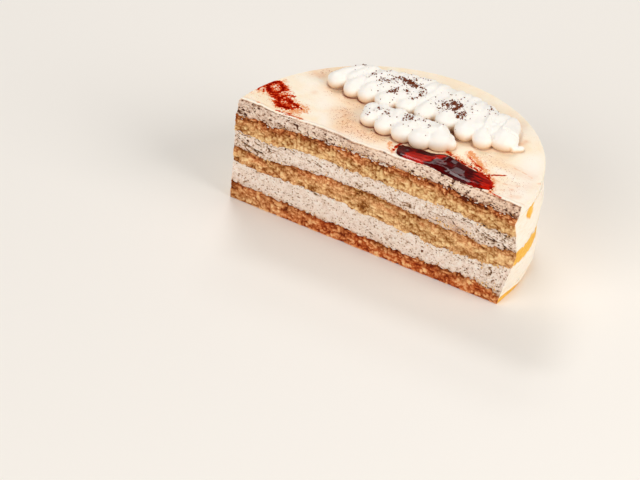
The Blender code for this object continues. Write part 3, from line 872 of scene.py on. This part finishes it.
# Whiter lines and patches on the glaze: width, strength, then X and Y of points, in millimetres. The
# first line, along the cut, is a painted highlight.
WHITE_AND_HIGHLIGHT_PATHS = (
    (2.4, 0.85, -54, 3.8, -44, 5, -30, 5, -16, 3.6, 0, 5, 6, 4.6),
    (3, 0.8, 66, 28, 76, 27, 88, 22),
    (11, 0.9, 80, 50, 88, 30, 92, 8),
    (10, 0.55, -80, 46, -72, 42, -62, 36, -56, 26),
    (12, 0.25, -30, 92, 0, 94, 40, 88, 70, 66),
    (5, 0.65, -60, 12, -50, 16, -44, 10),
)
FOOT_SHADOW_WIDTH = 0.0008
GLAZE_SHARPNESS = 50
GLAZE_INSET = GLAZE_ROUNDING - GLAZE_OVERHANG


def points_of(path):
    """The points of a path that is given as X and Y in turn, in millimetres."""
    return np.reshape(path, (-1, 2)) * MM


def path_mask(flat, paths):
    """The strongest of several soft lines."""
    strongest = np.zeros(len(flat))
    for width, strength, *path in paths:
        away = path_distance(flat, points_of(path))
        strongest = np.maximum(strongest, strength * bell(away, 0, width * MM))
    return strongest


def stroke_reach(flat, strokes):
    """Distance from each place to the nearest stroke's outline, and which way that stroke lies."""
    nearest = np.full(len(flat), FAR)
    ahead = np.zeros(len(flat))
    for front, back, half_width in strokes:
        away = path_distance(flat, (front, back)) - half_width
        closer = away < nearest
        nearest = np.where(closer, away, nearest)
        ahead = np.where(closer, (front[1] + back[1]) / 2 - flat[:, 1], ahead)
    return nearest, ahead


def glaze_grid():
    """A grid bent to the unit half disc: its places across and back, its edge and its faces."""
    i = np.linspace(-1, 1, GLAZE_ACROSS + 1)[None, :]
    j = np.linspace(0, 1, GLAZE_BACK + 1)[:, None]
    j = j * (0.72 + 0.28 * j)
    across = (i * np.sqrt(1 - j**2 / 2)).ravel()
    back = (j * np.sqrt(1 - i**2 / 2)).ravel()
    index = np.arange(len(across)).reshape(GLAZE_BACK + 1, GLAZE_ACROSS + 1)
    edge = np.concatenate([index[0], index[1:, -1], index[-1, -2::-1], index[-2:0:-1, 0]])
    faces = np.stack([index[:-1, :-1], index[:-1, 1:], index[1:, 1:], index[1:, :-1]], -1)
    return across, back, edge, faces.reshape(-1, 4).tolist()


def tear_front(top, across):
    """Wave the top and lower it in front of the torn edge. Returns masks for the edge and the cream."""
    near_cut = bell(top[:, 1], 0, 0.006)
    streak = noise(top, (0.030, 0.0016, 1.0), 2)
    swirl = noise(top, (0.020, 0.012, 1.0), 5)
    top[:, 2] += 0.00010 * swirl + 0.00003 * noise(top, 0.0022, 8) - 0.00012

    # In front of the torn edge the glaze is gone and the top cream shows.
    width = np.interp(top[:, 0] / MM, *np.array(TORN_EDGE).T) * MM
    ragged = 0.0004 * noise(top, (0.0026, 0.0026, 1.0), 12)
    ragged += 0.0002 * noise(top, (0.0011, 0.0011, 1.0), 13)
    behind = top[:, 1] - GLAZE_INSET - width - ragged * np.minimum(width / 0.001, 1)
    is_torn = ramp_to(width, 0.0, 0.0010)
    torn = fall_to(behind, -0.0002, 0.0003)
    top[:, 2] += 0.00012 * near_cut * streak * (1 - torn)
    relief, torn_masks = cream_detail(TOP_CREAM, top, 1.0 + 0 * across, across, 1.0)
    slope = np.clip(-behind / np.maximum(width, 0.0004), 0, 1.2)
    top[:, 2] -= np.minimum(0.42 * width, TORN_DROP) * slope * torn
    top[:, 2] += 0.8 * relief * torn * is_torn
    lip = bell(behind, *LIP) * is_torn
    top[:, 2] += LIP_HEIGHT * lip
    crease = bell(behind, *CREASE) * is_torn
    crease *= ramp_to(noise(top, (0.012, 0.012, 1.0), 15), -0.5, 0.2)
    top[:, 2] -= CREASE_DEPTH * crease
    shade = bell(behind, *SHADE) * is_torn
    return torn, lip, crease, shade, torn_masks


def glaze_masks(top, torn, lip, crease, shade, cream):
    """The masks of the glaze's top."""
    flat = top[:, :2]
    reach, ahead = stroke_reach(flat, LONG_LINE + SHORT_LINE)
    # Painted contact shadow at the strokes' feet, stronger in front of them.
    foot_shadow = bell(reach, 0, FOOT_SHADOW_WIDTH) * (0.35 + 0.65 * ramp_to(ahead, -0.004, 0.008))
    foot_shadow *= 1 - 0.5 * ramp_to(flat[:, 0], 0.026, 0.036) - 0.4 * ramp_to(-flat[:, 0], 0.050, 0.060)
    # Painted shade: a warm tint on the glaze in front of the strokes.
    foot_halo_shade = bell(np.maximum(reach, 0), 0, 0.0032) * ramp_to(ahead, -0.01, 0.01)
    return {
        "red": path_mask(flat, RED_PATHS),
        "orange": path_mask(flat, ORANGE_PATHS),
        # Real warm stains, with painted shade round the strokes' feet and in the crease.
        "rust_tint_and_shade": np.maximum(path_mask(flat, RUST_PATHS), np.maximum(0.38 * foot_halo_shade, 0.5 * crease)),
        "dust": np.maximum(path_mask(flat, DUST_PATHS), 0.28),
        # Painted highlight: the raised lip along the torn edge is painted white.
        "white": np.maximum(path_mask(flat, WHITE_AND_HIGHLIGHT_PATHS), 0.9 * lip),
        "foot_shadow": 0.9 * foot_shadow,
        "edge": torn,
        "tone": cream["tone"] - 0.22 * shade,
        "brown": cream["brown"] + 0.3 * shade,
    }


def add_glaze(look):
    """The glaze: its top with a torn front edge, and a rounded wall down to the cream."""
    across, back, edge, faces = glaze_grid()
    top = spread(across, back, HEIGHT + 0 * across)
    top[:, 0] *= 1 - GLAZE_INSET / RIM_RADIUS
    top[:, 1] = GLAZE_INSET + top[:, 1] * (1 - 2 * GLAZE_INSET / RIM_RADIUS)
    masks = glaze_masks(top, *tear_front(top, across))
    rim_masks = {name: values[edge] for name, values in masks.items()}
    edge_across, edge_back = across[edge], back[edge]
    on_cut = edge_back < 1e-9
    out = np.stack([edge_across, edge_back], 1)
    out[on_cut] = (0.0, -1.0)
    out[[0, GLAZE_ACROSS]] = CORNERS_OUTWARD
    rim_masks["edge"] = 1.0 * on_cut
    rim_masks["white"] = np.where(on_cut, 0.0, 0.7)
    overhang = np.where(on_cut, 0.0, GLAZE_OVERHANG)
    foot_z = seam_height(TOP_CREAM, edge_across, edge_back) - SEAM_GAP
    drops = [HEIGHT - share * GLAZE_ROUNDING for share in (0.10, 0.35, 0.75, 1.10, 1.50, 1.95, 2.35)]
    pushes = [overhang - share * GLAZE_ROUNDING for share in (0.55, 0.20, 0.03)]
    pushes += [overhang * share for share in (1, 1, 0.9, 0.6, 0)]
    points = [top]
    wall_masks = {name: [values] for name, values in masks.items()}
    total = len(top)
    ring = edge
    rim_z = top[edge, 2]
    for step, (z, push) in enumerate(zip((*drops, foot_z), pushes)):
        share = (step + 1) / len(pushes)
        level = np.where(on_cut, rim_z + (foot_z - rim_z) * share, z)
        base = spread(edge_across, edge_back, level)
        rough = 0.00010 * noise(base, 0.0014, step) + 0.00008 * noise(base, 0.0006, step + 3)
        full = 1.0 + 0 * level
        relief, cream_masks = cream_detail(TOP_CREAM, base, full, edge_across, on_cut)
        reach_out = push + np.where(on_cut, relief * min(step, 3) / 3, 0.6 * rough)
        base[:, :2] += out * reach_out[:, None]
        points.append(base)
        lower = np.arange(total, total + len(edge))
        total += len(edge)
        faces += band_faces(lower, ring).tolist()
        ring = lower
        rim_masks |= {name: cream_masks[name] for name in ("tone", "brown")}
        for name, values in rim_masks.items():
            wall_masks[name].append(values)
    faces.append(ring[::-1].tolist())
    points = np.concatenate(points)
    masks = {name: np.concatenate(values) for name, values in wall_masks.items()}
    return make_piece("glaze_looks", points, faces, look, "glaze", ("glaze",), masks, GLAZE_SHARPNESS)


# ---------------------------------------------------------------- piped cream

STROKE_AROUND = 48
STROKE_ALONG = 56
PIPED_VOXEL = 0.00047
WEB_WIDTH = 1.10
WEB_START = 0.0068
# Folds pressed into the cream: width, depth, then X and Y of points, in millimetres.
FOLDS = (
    (0.9, 0.7, 51.5, 47, 47.5, 49.5, 44, 52.5),
    (0.9, 0.7, 63, 57, 58.5, 55, 55, 56.5),
    (0.9, 0.6, 16, 30.5, 12.5, 28.5, 9, 30.5),
    (0.8, 0.5, 24, 55, 27.5, 57.5, 30.5, 62),
    (0.8, 0.4, -34, 66, -31, 62, -28, 60.5),
    (0.8, 0.4, -50, 62, -47, 58, -44.5, 57),
    (0.8, 0.4, -12, 64, -8.5, 60.5, -5, 60),
    (0.8, 0.4, 41, 63, 44.5, 60, 47.5, 61),
)
# Crests left by the nozzle: width, height, then X and Y of points, in millimetres.
CRESTS = (
    (1, 1, 52.6, 56.5, 52, 61, 50.8, 65.5),
    (1, 0.9, 41.5, 56, 39.5, 62, 37.5, 68),
    (1, 0.8, 28.5, 55.5, 26.5, 62, 25, 69),
    (1.4, 0.3, 14.5, 60, 14, 68),
    (1.4, 0.4, -9.5, 62, -8, 70),
    (2.2, 1.6, 21.8, 37.5, 22.8, 34.5),
    (1.4, 1, 38.5, 66, 37.4, 69.5),
)


def stroke_height(half_width):
    return min(STROKE_HEIGHT, STROKE_HEIGHT_PER_WIDTH * half_width)


def stroke_points(stroke, number):
    """A closed stroke of piping, from a sphere drawn out along the stroke."""
    front, back, half_width = np.array(stroke[0]), np.array(stroke[1]), stroke[2]
    height = stroke_height(half_width)
    run = back - front
    length = np.linalg.norm(run)
    direction = run / length
    sideways = np.array((direction[1], -direction[0]))
    half_length = length / 2 + half_width
    waist = height * STROKE_WAIST
    turn = np.linspace(0, 2 * np.pi, STROKE_AROUND, endpoint=False)[None, :]
    along = -np.cos(np.linspace(0.02, np.pi - 0.02, STROKE_ALONG))[:, None]
    fullness = np.sqrt(1 - np.abs(along) ** STROKE_FULLNESS)
    bulb = 1 + 0.045 * np.sin(3.1 * along + 1.7 * number) - 0.04 * along
    neck = 1 + 0.03 * bell(along, -0.6, 0.3) - 0.07 * bell(along, 0, 0.3)
    width = half_width * (1 - STROKE_TAPER * along - 0.10 * ramp_to(along, 0.2, 1.0)) * fullness
    side, up = np.cos(turn), np.sin(turn)
    steep = np.sign(side) * np.abs(side) ** 0.55
    across = np.where(up < 0, steep, side) * width * neck
    rise = up * np.where(up < 0, fullness**0.35, fullness)
    lift = np.where(rise > 0, rise * (height * bulb - waist), rise * (waist + STROKE_SINK))
    flat = (front + back) / 2 + direction * (along * half_length)[..., None]
    flat = flat + sideways * across[..., None]
    points = np.concatenate([flat, (HEIGHT + waist + lift)[..., None]], -1)
    return np.concatenate([points.reshape(-1, 3), points[0].mean(0)[None], points[-1].mean(0)[None]])


def stroke_faces(start):
    """Faces of a stroke whose points are counted from start, with a fan at each end."""
    total = STROKE_AROUND * STROKE_ALONG
    near = np.arange(STROKE_AROUND)
    after = np.roll(near, -1)
    far = total - STROKE_AROUND
    faces = np.array(wall_faces(STROKE_ALONG, STROKE_AROUND))[:, ::-1] + start
    ends = [np.stack([0 * near + total, near, after], 1)]
    ends.append(np.stack([0 * near + total + 1, far + after, far + near], 1))
    return faces.tolist() + (np.concatenate(ends) + start).tolist()


def smooth_mesh(points, faces):
    """Points, faces and normals of a mesh remeshed in small cubes and smoothed."""
    rough = bpy.data.meshes.new("rough")
    rough.from_pydata(points.tolist(), [], faces)
    rough.update()
    holder = add_object("holder", rough)
    remesh = holder.modifiers.new("remesh", "REMESH")
    remesh.mode = "VOXEL"
    remesh.voxel_size = PIPED_VOXEL
    smooth = holder.modifiers.new("smooth", "SMOOTH")
    smooth.factor = 0.5
    smooth.iterations = 12
    graph = bpy.context.evaluated_depsgraph_get()
    mesh = bpy.data.meshes.new_from_object(holder.evaluated_get(graph))
    bpy.data.objects.remove(holder, do_unlink=True)
    values = np.empty((2, len(mesh.vertices) * 3), np.float32)
    mesh.vertices.foreach_get("co", values[0])
    mesh.vertices.foreach_get("normal", values[1])
    points, normals = values.reshape(2, -1, 3).astype(float)
    return points, [tuple(polygon.vertices) for polygon in mesh.polygons], normals


def web_between(first, second):
    """A low stroke in the groove behind the front ends of two neighbours."""
    fronts = (np.array(first[0]) + np.array(second[0])) / 2
    backs = (np.array(first[1]) + np.array(second[1])) / 2
    run = backs - fronts
    start = fronts + WEB_START * run / np.linalg.norm(run)
    return start, backs, WEB_WIDTH * min(first[2], second[2])


def add_piped_line(name, strokes, look):
    webs = [web_between(*pair) for pair in zip(strokes[:-2], strokes[1:-1])]
    bodies = [stroke_points(stroke, k) for k, stroke in enumerate([*strokes, *webs])]
    faces = sum([stroke_faces(k * len(bodies[0])) for k in range(len(bodies))], [])
    points, faces, normals = smooth_mesh(np.concatenate(bodies), faces)
    flat = points[:, :2]
    upper = ramp_to((points[:, 2] - HEIGHT) / STROKE_HEIGHT, 0.3, 0.7)
    ripple = noise(points, (0.0022, 0.010, 0.004), 6)
    away = [np.linalg.norm(flat - stroke[0], axis=1) for stroke in strokes]
    behind = ramp_to(np.min(away, 0), 0.005, 0.012)
    out = 0.00038 * noise(points, 0.007, 3) + (0.00010 + 0.00024 * behind) * ripple * upper
    for width, depth, *path in FOLDS:
        away = path_distance(flat, points_of(path)) / (width * MM)
        out += depth * MM * (0.5 * bell(away, 1.8, 1) - bell(away, 0, 1)) * upper
    for width, height, *path in CRESTS:
        away = path_distance(flat, points_of(path)) / (width * MM)
        out += height * MM * np.exp(-away) * upper
    points = points + normals * out[:, None]

    # Painted shade: low on the walls and in the grooves at the front the cream is painted browner, for
    # the shade that falls there.
    reaches = np.stack([path_distance(points[:, :2], stroke[:2]) - stroke[2] for stroke in strokes])
    nearest, second = np.sort(reaches, axis=0)[:2]
    near = np.exp((nearest - reaches) / 0.0012)
    tall = np.array([stroke_height(stroke[2]) for stroke in strokes]) @ near / near.sum(0)
    rise = (points[:, 2] - HEIGHT) / tall
    groove = bell(second, nearest, 0.0018) * fall_to(rise, 0.30, 0.75) * (1 - behind)
    masks = {
        "low": np.maximum(0.95 * fall_to(rise, 0.0, 0.70), groove),
        "dust": 0.15 + 0.5 * ramp_to(noise(points, 0.012, 4), 0.0, 0.7) * upper,
    }
    return make_piece(name + "_looks", points, faces, look, "piped_cream", (name,), masks)


# ---------------------------------------------------------------- jam

JAM_STATIONS = 220
JAM_ROUND = 64
# The crest of the jam's surface: place along X, place across and height, in millimetres.
JAM_CREST = (
    (6, 13.4, 0.7), (9, 8.6, 1), (12, 6.7, 1.1), (21, 7, 1.15), (27, 7.2, 1.2), (33, 7.5, 1.3),
    (37, 8.9, 1.5), (40.3, 9.3, 1.6), (43.7, 8.8, 1.6), (47, 8.1, 1.6), (55, 6.3, 1.4), (62, 5.9, 1.3),
    (67, 6.5, 1.2), (72, 6.9, 1), (76, 7.5, 0.7),
)
# How steeply the surface rises just before the crest, and falls near behind it and far behind it,
# and how far behind it, in millimetres, the fall changes.
JAM_SLOPES = (
    (6, 0.18, 0.1, 0, 3.5), (12, 0.18, 0.09, 0, 4.5), (25, 0.18, 0.1, 0, 5.5), (29, 0.18, 0.09, 0, 3.5),
    (32, 0.22, 0, 0, 3.5), (35, 0.3, 0, 0, 4.5), (38, 0.3, 0, 0, 4.5), (41, 0.28, 0.1, 0.02, 6),
    (45, 0.24, 0.12, 0, 6.5), (47, 0.158, 0, 0.13, 5), (54, 0.158, 0, 0.13, 6),
    (58, 0.155, 0.12, 0.12, 4.5), (67, 0.155, 0.12, 0.12, 4.5), (69, 0.3, 0.12, 0.12, 4.5),
    (76, 0.3, 0.12, 0.12, 4.5),
)
# Drops round the pool: number, spread, largest radius, then X and Y of points, in millimetres.
JAM_DROPS = (
    (26, 0.9, 0.75, 42, 22.8, 52, 21.6, 60, 20.2, 68, 17.4),
    (8, 0.7, 0.6, 68, 16, 73.5, 11, 75.5, 6),
    (3, 0.3, 0.35, 64, 18, 74, 25),
    (6, 0.8, 0.45, 4.6, 17, 5, 12, 8, 6),
    (5, 1.2, 0.4, 36, 25.4, 42, 24),
)


def jam_outline(x):
    """The front and the back edge of the pool at each x, and how full it is near its ends."""
    kernel = np.hanning(9)
    kernel /= kernel.sum()
    stations, *edges = np.array(JAM_EDGE).T * MM
    front, back = [
        np.convolve(np.pad(np.interp(x, stations, edge), 4, "edge"), kernel, "valid") for edge in edges
    ]
    line = np.stack([x, 0 * x, 0 * x], 1)
    ragged = ramp_to(x, 0.056, 0.068)
    under_lobes = ramp_to(x, 0.008, 0.012) * fall_to(x, 0.026, 0.034)
    back = back + 0.0007 * noise(line, 0.0045, 1) + 0.0004 * noise(line, 0.0017, 2)
    back = back + 0.0012 * under_lobes + 0.0008 * ragged * noise(line, 0.0013, 8)
    front = front + 0.0002 * noise(line, 0.004, 5) + 0.0005 * ragged * noise(line, 0.0016, 9)
    full = np.minimum(ramp_to(x, x[0], x[0] + 0.008), fall_to(x, x[-1] - 0.005, x[-1]))
    middle = (front + back) / 2
    half = (back - front) / 2 * np.sqrt(np.clip(full * 8, 0.02, 1))
    return middle - half, middle + half, full


def jam_height(x, y, t, full):
    """The pool's height over its grid, from its slope, added up from the front edge back."""
    at, crest_y, crest_height = np.array(JAM_CREST).T * MM
    crest = np.maximum(np.interp(x, at, crest_y) - y[:, 0], 0.0008)[:, None]
    peak = np.interp(x, at, crest_height)[:, None]
    at, *slopes = np.array(JAM_SLOPES).T
    before, near, far, reach = [np.interp(x / MM, at, values)[:, None] for values in slopes]
    away = y - y[:, :1]
    steep = np.maximum(peak - 0.80 * crest * before, 0.0) / (0.225 * crest)
    passed = ramp_to(away / crest, 0.90, 1.12)
    fall = near + (far - near) * ramp_to(away - crest - reach * MM, -0.0012, 0.0012)
    slope = steep * np.maximum(1 - away / (0.45 * crest), 0) + before * (1 - passed) - fall * passed
    height = np.cumsum(slope * np.gradient(y, axis=1), axis=1)
    places = np.stack([np.repeat(x, JAM_ROUND), y.ravel(), 0 * y.ravel()], 1)
    wave = 0.00006 * noise(places, (0.007, 0.003, 1), 7)
    wave += 0.00003 * noise(places, (0.004, 0.0014, 1), 9)
    height = np.maximum(height + wave.reshape(y.shape) * (0.4 + 0.6 * passed), 0.0003)
    height *= np.sqrt(np.clip(1 - np.clip((t - 0.86) / 0.14, 0, 1) ** 2, 0, 1)) * np.minimum(20 * t, 1)
    return height * np.sqrt(full)[:, None]


def jam_thinness(points):
    """Where light comes through: at the left front and along the right end."""
    x, y = points[:, 0], points[:, 1]
    left = ramp_to(x, 0.012, 0.018) * fall_to(x - 0.6 * (y - 0.010), 0.029, 0.034)
    left = left * fall_to(y - 0.6 * np.maximum(x - 0.024, 0), 0.0115, 0.0155)
    slanted = x + 0.3 * (y - 0.010)
    right = 0.40 * ramp_to(slanted, 0.056, 0.062) + 0.60 * ramp_to(slanted, 0.066, 0.071)
    right = np.maximum(right, 0.7 * ramp_to(x, 0.056, 0.062) * fall_to(y, 0.0040, 0.0052))
    blotch = noise(points, (0.006, 0.003, 0.003), 4)
    thin = np.maximum(0.80 * left, 0.90 * right) + 0.34 * blotch * np.maximum(left, right)
    return np.clip(thin + 0.10 * blotch + 0.20 * bell(x, 0.051, 0.004), 0, 1)


def add_jam(look):
    """The pool: a smooth cushion with a broad slope to the front."""
    ends = (JAM_EDGE[0][0] * MM - 0.0005, JAM_EDGE[-1][0] * MM + 0.0006)
    x = np.linspace(*ends, JAM_STATIONS)
    front, back, full = jam_outline(x)
    t = np.linspace(0, 1, JAM_ROUND)[None, :]
    y = front[:, None] + (back - front)[:, None] * t
    top = HEIGHT - 0.00015 + jam_height(x, y, t, full)
    inset = 0.15 * (back - front)
    low = HEIGHT - 0.0006 + 0 * x
    under = [np.stack([x, edge, low], -1)[:, None] for edge in (back - inset, front + inset)]
    loops = np.concatenate([np.stack([x[:, None] + 0 * y, y, top], -1), *under], 1)
    count = loops.shape[1]
    points = loops.reshape(-1, 3)
    faces = [face[::-1] for face in wall_faces(JAM_STATIONS, count)]
    faces.append(list(range(count)))
    faces.append(list(range(len(points) - count, len(points)))[::-1])
    masks = {"thin": jam_thinness(points)}
    return make_piece("jam_looks", points, faces, look, "jam", ("jam",), masks)


# ---------------------------------------------------------------- crumbs and drops

DROP_SEED = 31
COCOA_SEED = 11
CUT_SEED = 21
CLUMP_RADIUS = (0.00040, 0.00085)
CLUMP_SPREAD = 0.0011
GRAIN_RADIUS = (0.00024, 0.00050)
LOOSE_RADIUS = (0.00026, 0.00046)
ABOVE_CAKE = 0.2


def crumb_shape(rng, radius):
    """Points and faces of a rough crumb round the origin."""
    body = bmesh.new()
    bmesh.ops.create_icosphere(body, subdivisions=2, radius=1)
    points = np.array([corner.co for corner in body.verts])
    faces = [[corner.index for corner in face.verts] for face in body.faces]
    body.free()
    field = rng.randint(0, 50)
    points *= (1 + 0.45 * noise(points, 0.9, field) + 0.2 * noise(points, 0.4, field + 1))[:, None]
    points *= rng.uniform(0.6, 1.2, 3) * radius
    turn = Matrix.Rotation(rng.uniform(0, math.tau), 3, Vector(rng.normal(size=3)).normalized())
    return points @ np.array(turn), faces


def along_path(path, count, rng):
    """Places spread along a path, a little unevenly, in metres."""
    corners = np.reshape(path, (-1, 2))
    reached = np.concatenate([[0], np.cumsum(np.linalg.norm(np.diff(corners, axis=0), axis=1))])
    steps = (np.arange(count) + 0.5 + rng.uniform(-0.4, 0.4, count)) / count * reached[-1]
    return np.stack([np.interp(steps, reached, corners[:, k]) for k in (0, 1)], 1) * MM


def add_scatter(name, crumbs, look, slot, masks=(), stretch=(1, 1, 1), rng=None):
    """One joined mesh of crumbs, each as its place and its radius."""
    rng = rng or np.random.RandomState(len(crumbs) + 7)
    points, faces, total = [], [], 0
    for place, radius in crumbs:
        shape, sides = crumb_shape(rng, radius)
        points.append(shape * stretch + place)
        faces += [[total + k for k in side] for side in sides]
        total += len(shape)
    values = {mask: np.full(total, value) for mask, value in masks}
    make_piece(name, np.concatenate(points), faces, look, slot, (), values)


class Ground:
    """What crumbs can fall on."""

    def __init__(self, pieces):
        self.trees = []
        for piece in pieces:
            body = bmesh.new()
            body.from_mesh(piece.data)
            self.trees.append(BVHTree.FromBMesh(body))
            body.free()

    def under(self, x, y):
        """The highest place at x, y, in cake places, or None beside the cake."""
        start = Vector((x + SHIFT[0], y + SHIFT[1], ABOVE_CAKE))
        hits = [tree.ray_cast(start, Vector((0, 0, -1)))[0] for tree in self.trees]
        heights = [hit.z for hit in hits if hit]
        return np.array((x, y, max(heights))) if heights else None


def jam_drops(ground, rng):
    """Small flat drops beside the pool."""
    for count, spread_out, largest, *path in JAM_DROPS:
        for spot in along_path(path, count, rng):
            place = ground.under(*(spot + rng.normal(0, spread_out, 2) * MM))
            yield place, rng.uniform(0.25, largest) * MM


def cocoa_spots(rng):
    """Places and radii of the cocoa crumbs on the piping."""
    for count, width, *path in CRUMB_RUNS:
        for spot in along_path(path, count, rng):
            middle = spot + rng.normal(0, width, 2) * MM
            yield middle, rng.uniform(*CLUMP_RADIUS)
            for _ in range(rng.randint(2, 7) if count > 5 else rng.randint(0, 4)):
                yield middle + rng.normal(0, CLUMP_SPREAD, 2), rng.uniform(*GRAIN_RADIUS)
    numbers = np.array([run[0] for run in CRUMB_RUNS])
    for pick in rng.choice(len(CRUMB_RUNS), LOOSE_GRAINS, p=numbers / numbers.sum()):
        spot = along_path(CRUMB_RUNS[pick][2:], 1, rng)[0] + rng.normal(0, LOOSE_SPREAD, 2)
        yield spot, rng.uniform(*LOOSE_RADIUS)


def add_cocoa(ground, look):
    spots = list(cocoa_spots(np.random.RandomState(COCOA_SEED)))
    crumbs = [(ground.under(*spot), size) for spot, size in spots]
    crumbs = [(place + (0, 0, 0.25 * size), size) for place, size in crumbs if place is not None]
    crumbs.append((np.array(CUT_FLECK), CUT_FLECK_RADIUS))
    add_scatter("cocoa_crumbs", crumbs, look, "piped_cream")


def cut_bits(seams, rng):
    """Crumbs that stick to the cut along its seams."""
    bits = []
    for number, start, end, count, spread_up, lift, largest in seams:
        across = rng.uniform(start, end, count) / 100
        z = seam_height(number, across, 0 * across) + lift * MM
        z = z + rng.normal(0, spread_up * MM, count)
        radius = rng.uniform(0.0003, largest * MM, count)
        places = spread(across, 0 * across, z)
        bits += [(place + (0, 0.35 * size, 0), size) for place, size in zip(places, radius)]
    return bits


# Crumbs along the cut's seams: layer below, from and to in hundredths of the reach, number,
# spread, lift and largest radius in millimetres.
SPONGE_BITS = (
    (0, -98, 96, 26, 0.6, 0.3, 0.60),
    (0, 74, 92, 22, 1.2, 1.5, 0.80),
    (1, -98, 20, 20, 0.6, -0.3, 0.60),
    (1, 20, 98, 36, 1.0, -0.6, 0.85),
    (2, -98, 98, 36, 0.7, 0.4, 0.60),
    (2, 40, 72, 36, 1.6, 2.2, 0.75),
    (2, -26, -18, 9, 1.2, 10.5, 0.70),
    (3, -98, 98, 40, 0.7, -0.3, 0.70),
    (3, 35, 75, 18, 0.9, -0.8, 0.90),
    (4, -98, 98, 50, 0.6, 0.3, 0.60),
)
CREAM_BITS = (
    (4, -98, -35, 22, 0.9, -0.2, 0.70),
    (4, -35, 14, 40, 0.8, -0.3, 0.90),
    (4, 14, 96, 30, 0.8, -0.2, 0.70),
)


# ---------------------------------------------------------------- room, light and camera

CAMERA_PLACE = (1.0475166, -1.7221380, 1.3522935)
CAMERA_AXES = (
    (0.8309847, 0.5548716, 0.0397741),
    (-0.3358322, 0.4433773, 0.8310435),
    (0.4434875, -0.7039419, 0.5547835),
)
CAMERA_LENS = 225
CAMERA_SENSOR = 36
CAMERA_CLIP_END = 20
FLOOR_REACH = 4.0

# Each lamp: name, place, what it points at, size, watts and tint.
LAMPS = (
    ("key", (1.35, -0.05, 0.90), (0, 0, 0.04), (1.1, 1.1), 14.6, (1.0, 0.97, 0.93)),
    ("fill", (-0.3, -1.7, 1.0), (0, 0, 0.03), (1.8, 1.4), 18.6, (1.0, 0.975, 0.945)),
    ("window", (-0.76, 1.26, 1.12), (0, 0, 0.07), (0.66, 0.27), 3.0, (1, 1, 1)),
    ("spark", (-0.68, 0.73, 1.25), (0, 0, 0.07), (0.60, 0.17), 5.4, (1, 1, 1)),
)
AIR_COLOUR = (1.0, 0.975, 0.94, 1.0)
AIR_STRENGTH = 0.30


def add_floor():
    look = Look("floor")
    tone = look.mix(look.noise(0.5), (243, 239, 233), (245, 241, 236))
    mesh = bpy.data.meshes.new("floor")
    corners = [(x * FLOOR_REACH, y * FLOOR_REACH, 0) for x, y in ((-1, -1), (1, -1), (1, 1), (-1, 1))]
    mesh.from_pydata(corners, [], [(0, 1, 2, 3)])
    mesh.materials.append(look.finish(tone, 0.9, 0.1))
    floor = add_object("floor", mesh)
    floor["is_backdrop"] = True


def add_lamp(name, place, target, size, watts, tint):
    data = bpy.data.lights.new(name, "AREA")
    data.shape = "ELLIPSE"
    data.size, data.size_y = size
    data.energy = watts
    data.color = tint
    lamp = add_object(name, data)
    lamp.location = place
    lamp.rotation_euler = (Vector(target) - Vector(place)).to_track_quat("-Z", "Y").to_euler()


def add_room():
    add_floor()
    for lamp in LAMPS:
        add_lamp(*lamp)
    world = bpy.data.worlds.new("room")
    world.use_nodes = True
    background = world.node_tree.nodes["Background"]
    background.inputs["Color"].default_value = AIR_COLOUR
    background.inputs["Strength"].default_value = AIR_STRENGTH
    bpy.context.scene.world = world
    bpy.context.scene.view_settings.view_transform = "Standard"


def add_camera():
    data = bpy.data.cameras.new("camera")
    data.lens = CAMERA_LENS
    data.sensor_width = CAMERA_SENSOR
    data.clip_end = CAMERA_CLIP_END
    camera = add_object("camera", data)
    place = Vector(CAMERA_PLACE) + Vector(SHIFT)
    axes = Matrix([Vector(axis) for axis in CAMERA_AXES])
    camera.matrix_world = Matrix.Translation(place) @ axes.transposed().to_4x4()
    bpy.context.scene.camera = camera


def main():
    add_camera()
    add_room()
    looks = {"sponge": sponge_look(), "cream": cream_look()}
    for number in range(len(LAYERS)):
        add_layer(number, looks)
    glaze = add_glaze(glaze_look())
    piped = piped_look()
    long_line = add_piped_line("piped_cream_long", LONG_LINE, piped)
    short_line = add_piped_line("piped_cream_short", SHORT_LINE, piped)
    jam = jam_look()
    add_jam(jam)
    ground = Ground([glaze, long_line, short_line])
    rng = np.random.RandomState(DROP_SEED)
    drops = jam_drops(ground, rng)
    add_scatter("jam_drops", drops, jam, "jam", (("thin", 0.6),), (1.2, 0.9, 0.45), rng)
    add_cocoa(ground, crumb_look("cocoa", COCOA, 0.0007, 4.0, 0.85, 0.8))
    rng = np.random.RandomState(CUT_SEED)
    crumb = crumb_look("crumb", CRUMB, 0.0009, 3.0, 0.9, 0.7)
    add_scatter("sponge_crumbs", cut_bits(SPONGE_BITS, rng), crumb, "sponge")
    flecks = cut_bits(CREAM_BITS, rng)
    masks = (("tone", 0.64), ("brown", 0.15))
    add_scatter("cream_flecks", flecks, looks["cream"], "cream", masks, (1.9, 0.8, 0.75))


main()
sizes = {"cad": CAD_BOX, "visual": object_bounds()}
{key: [list(map(float, corner)) for corner in box] for key, box in sizes.items()}
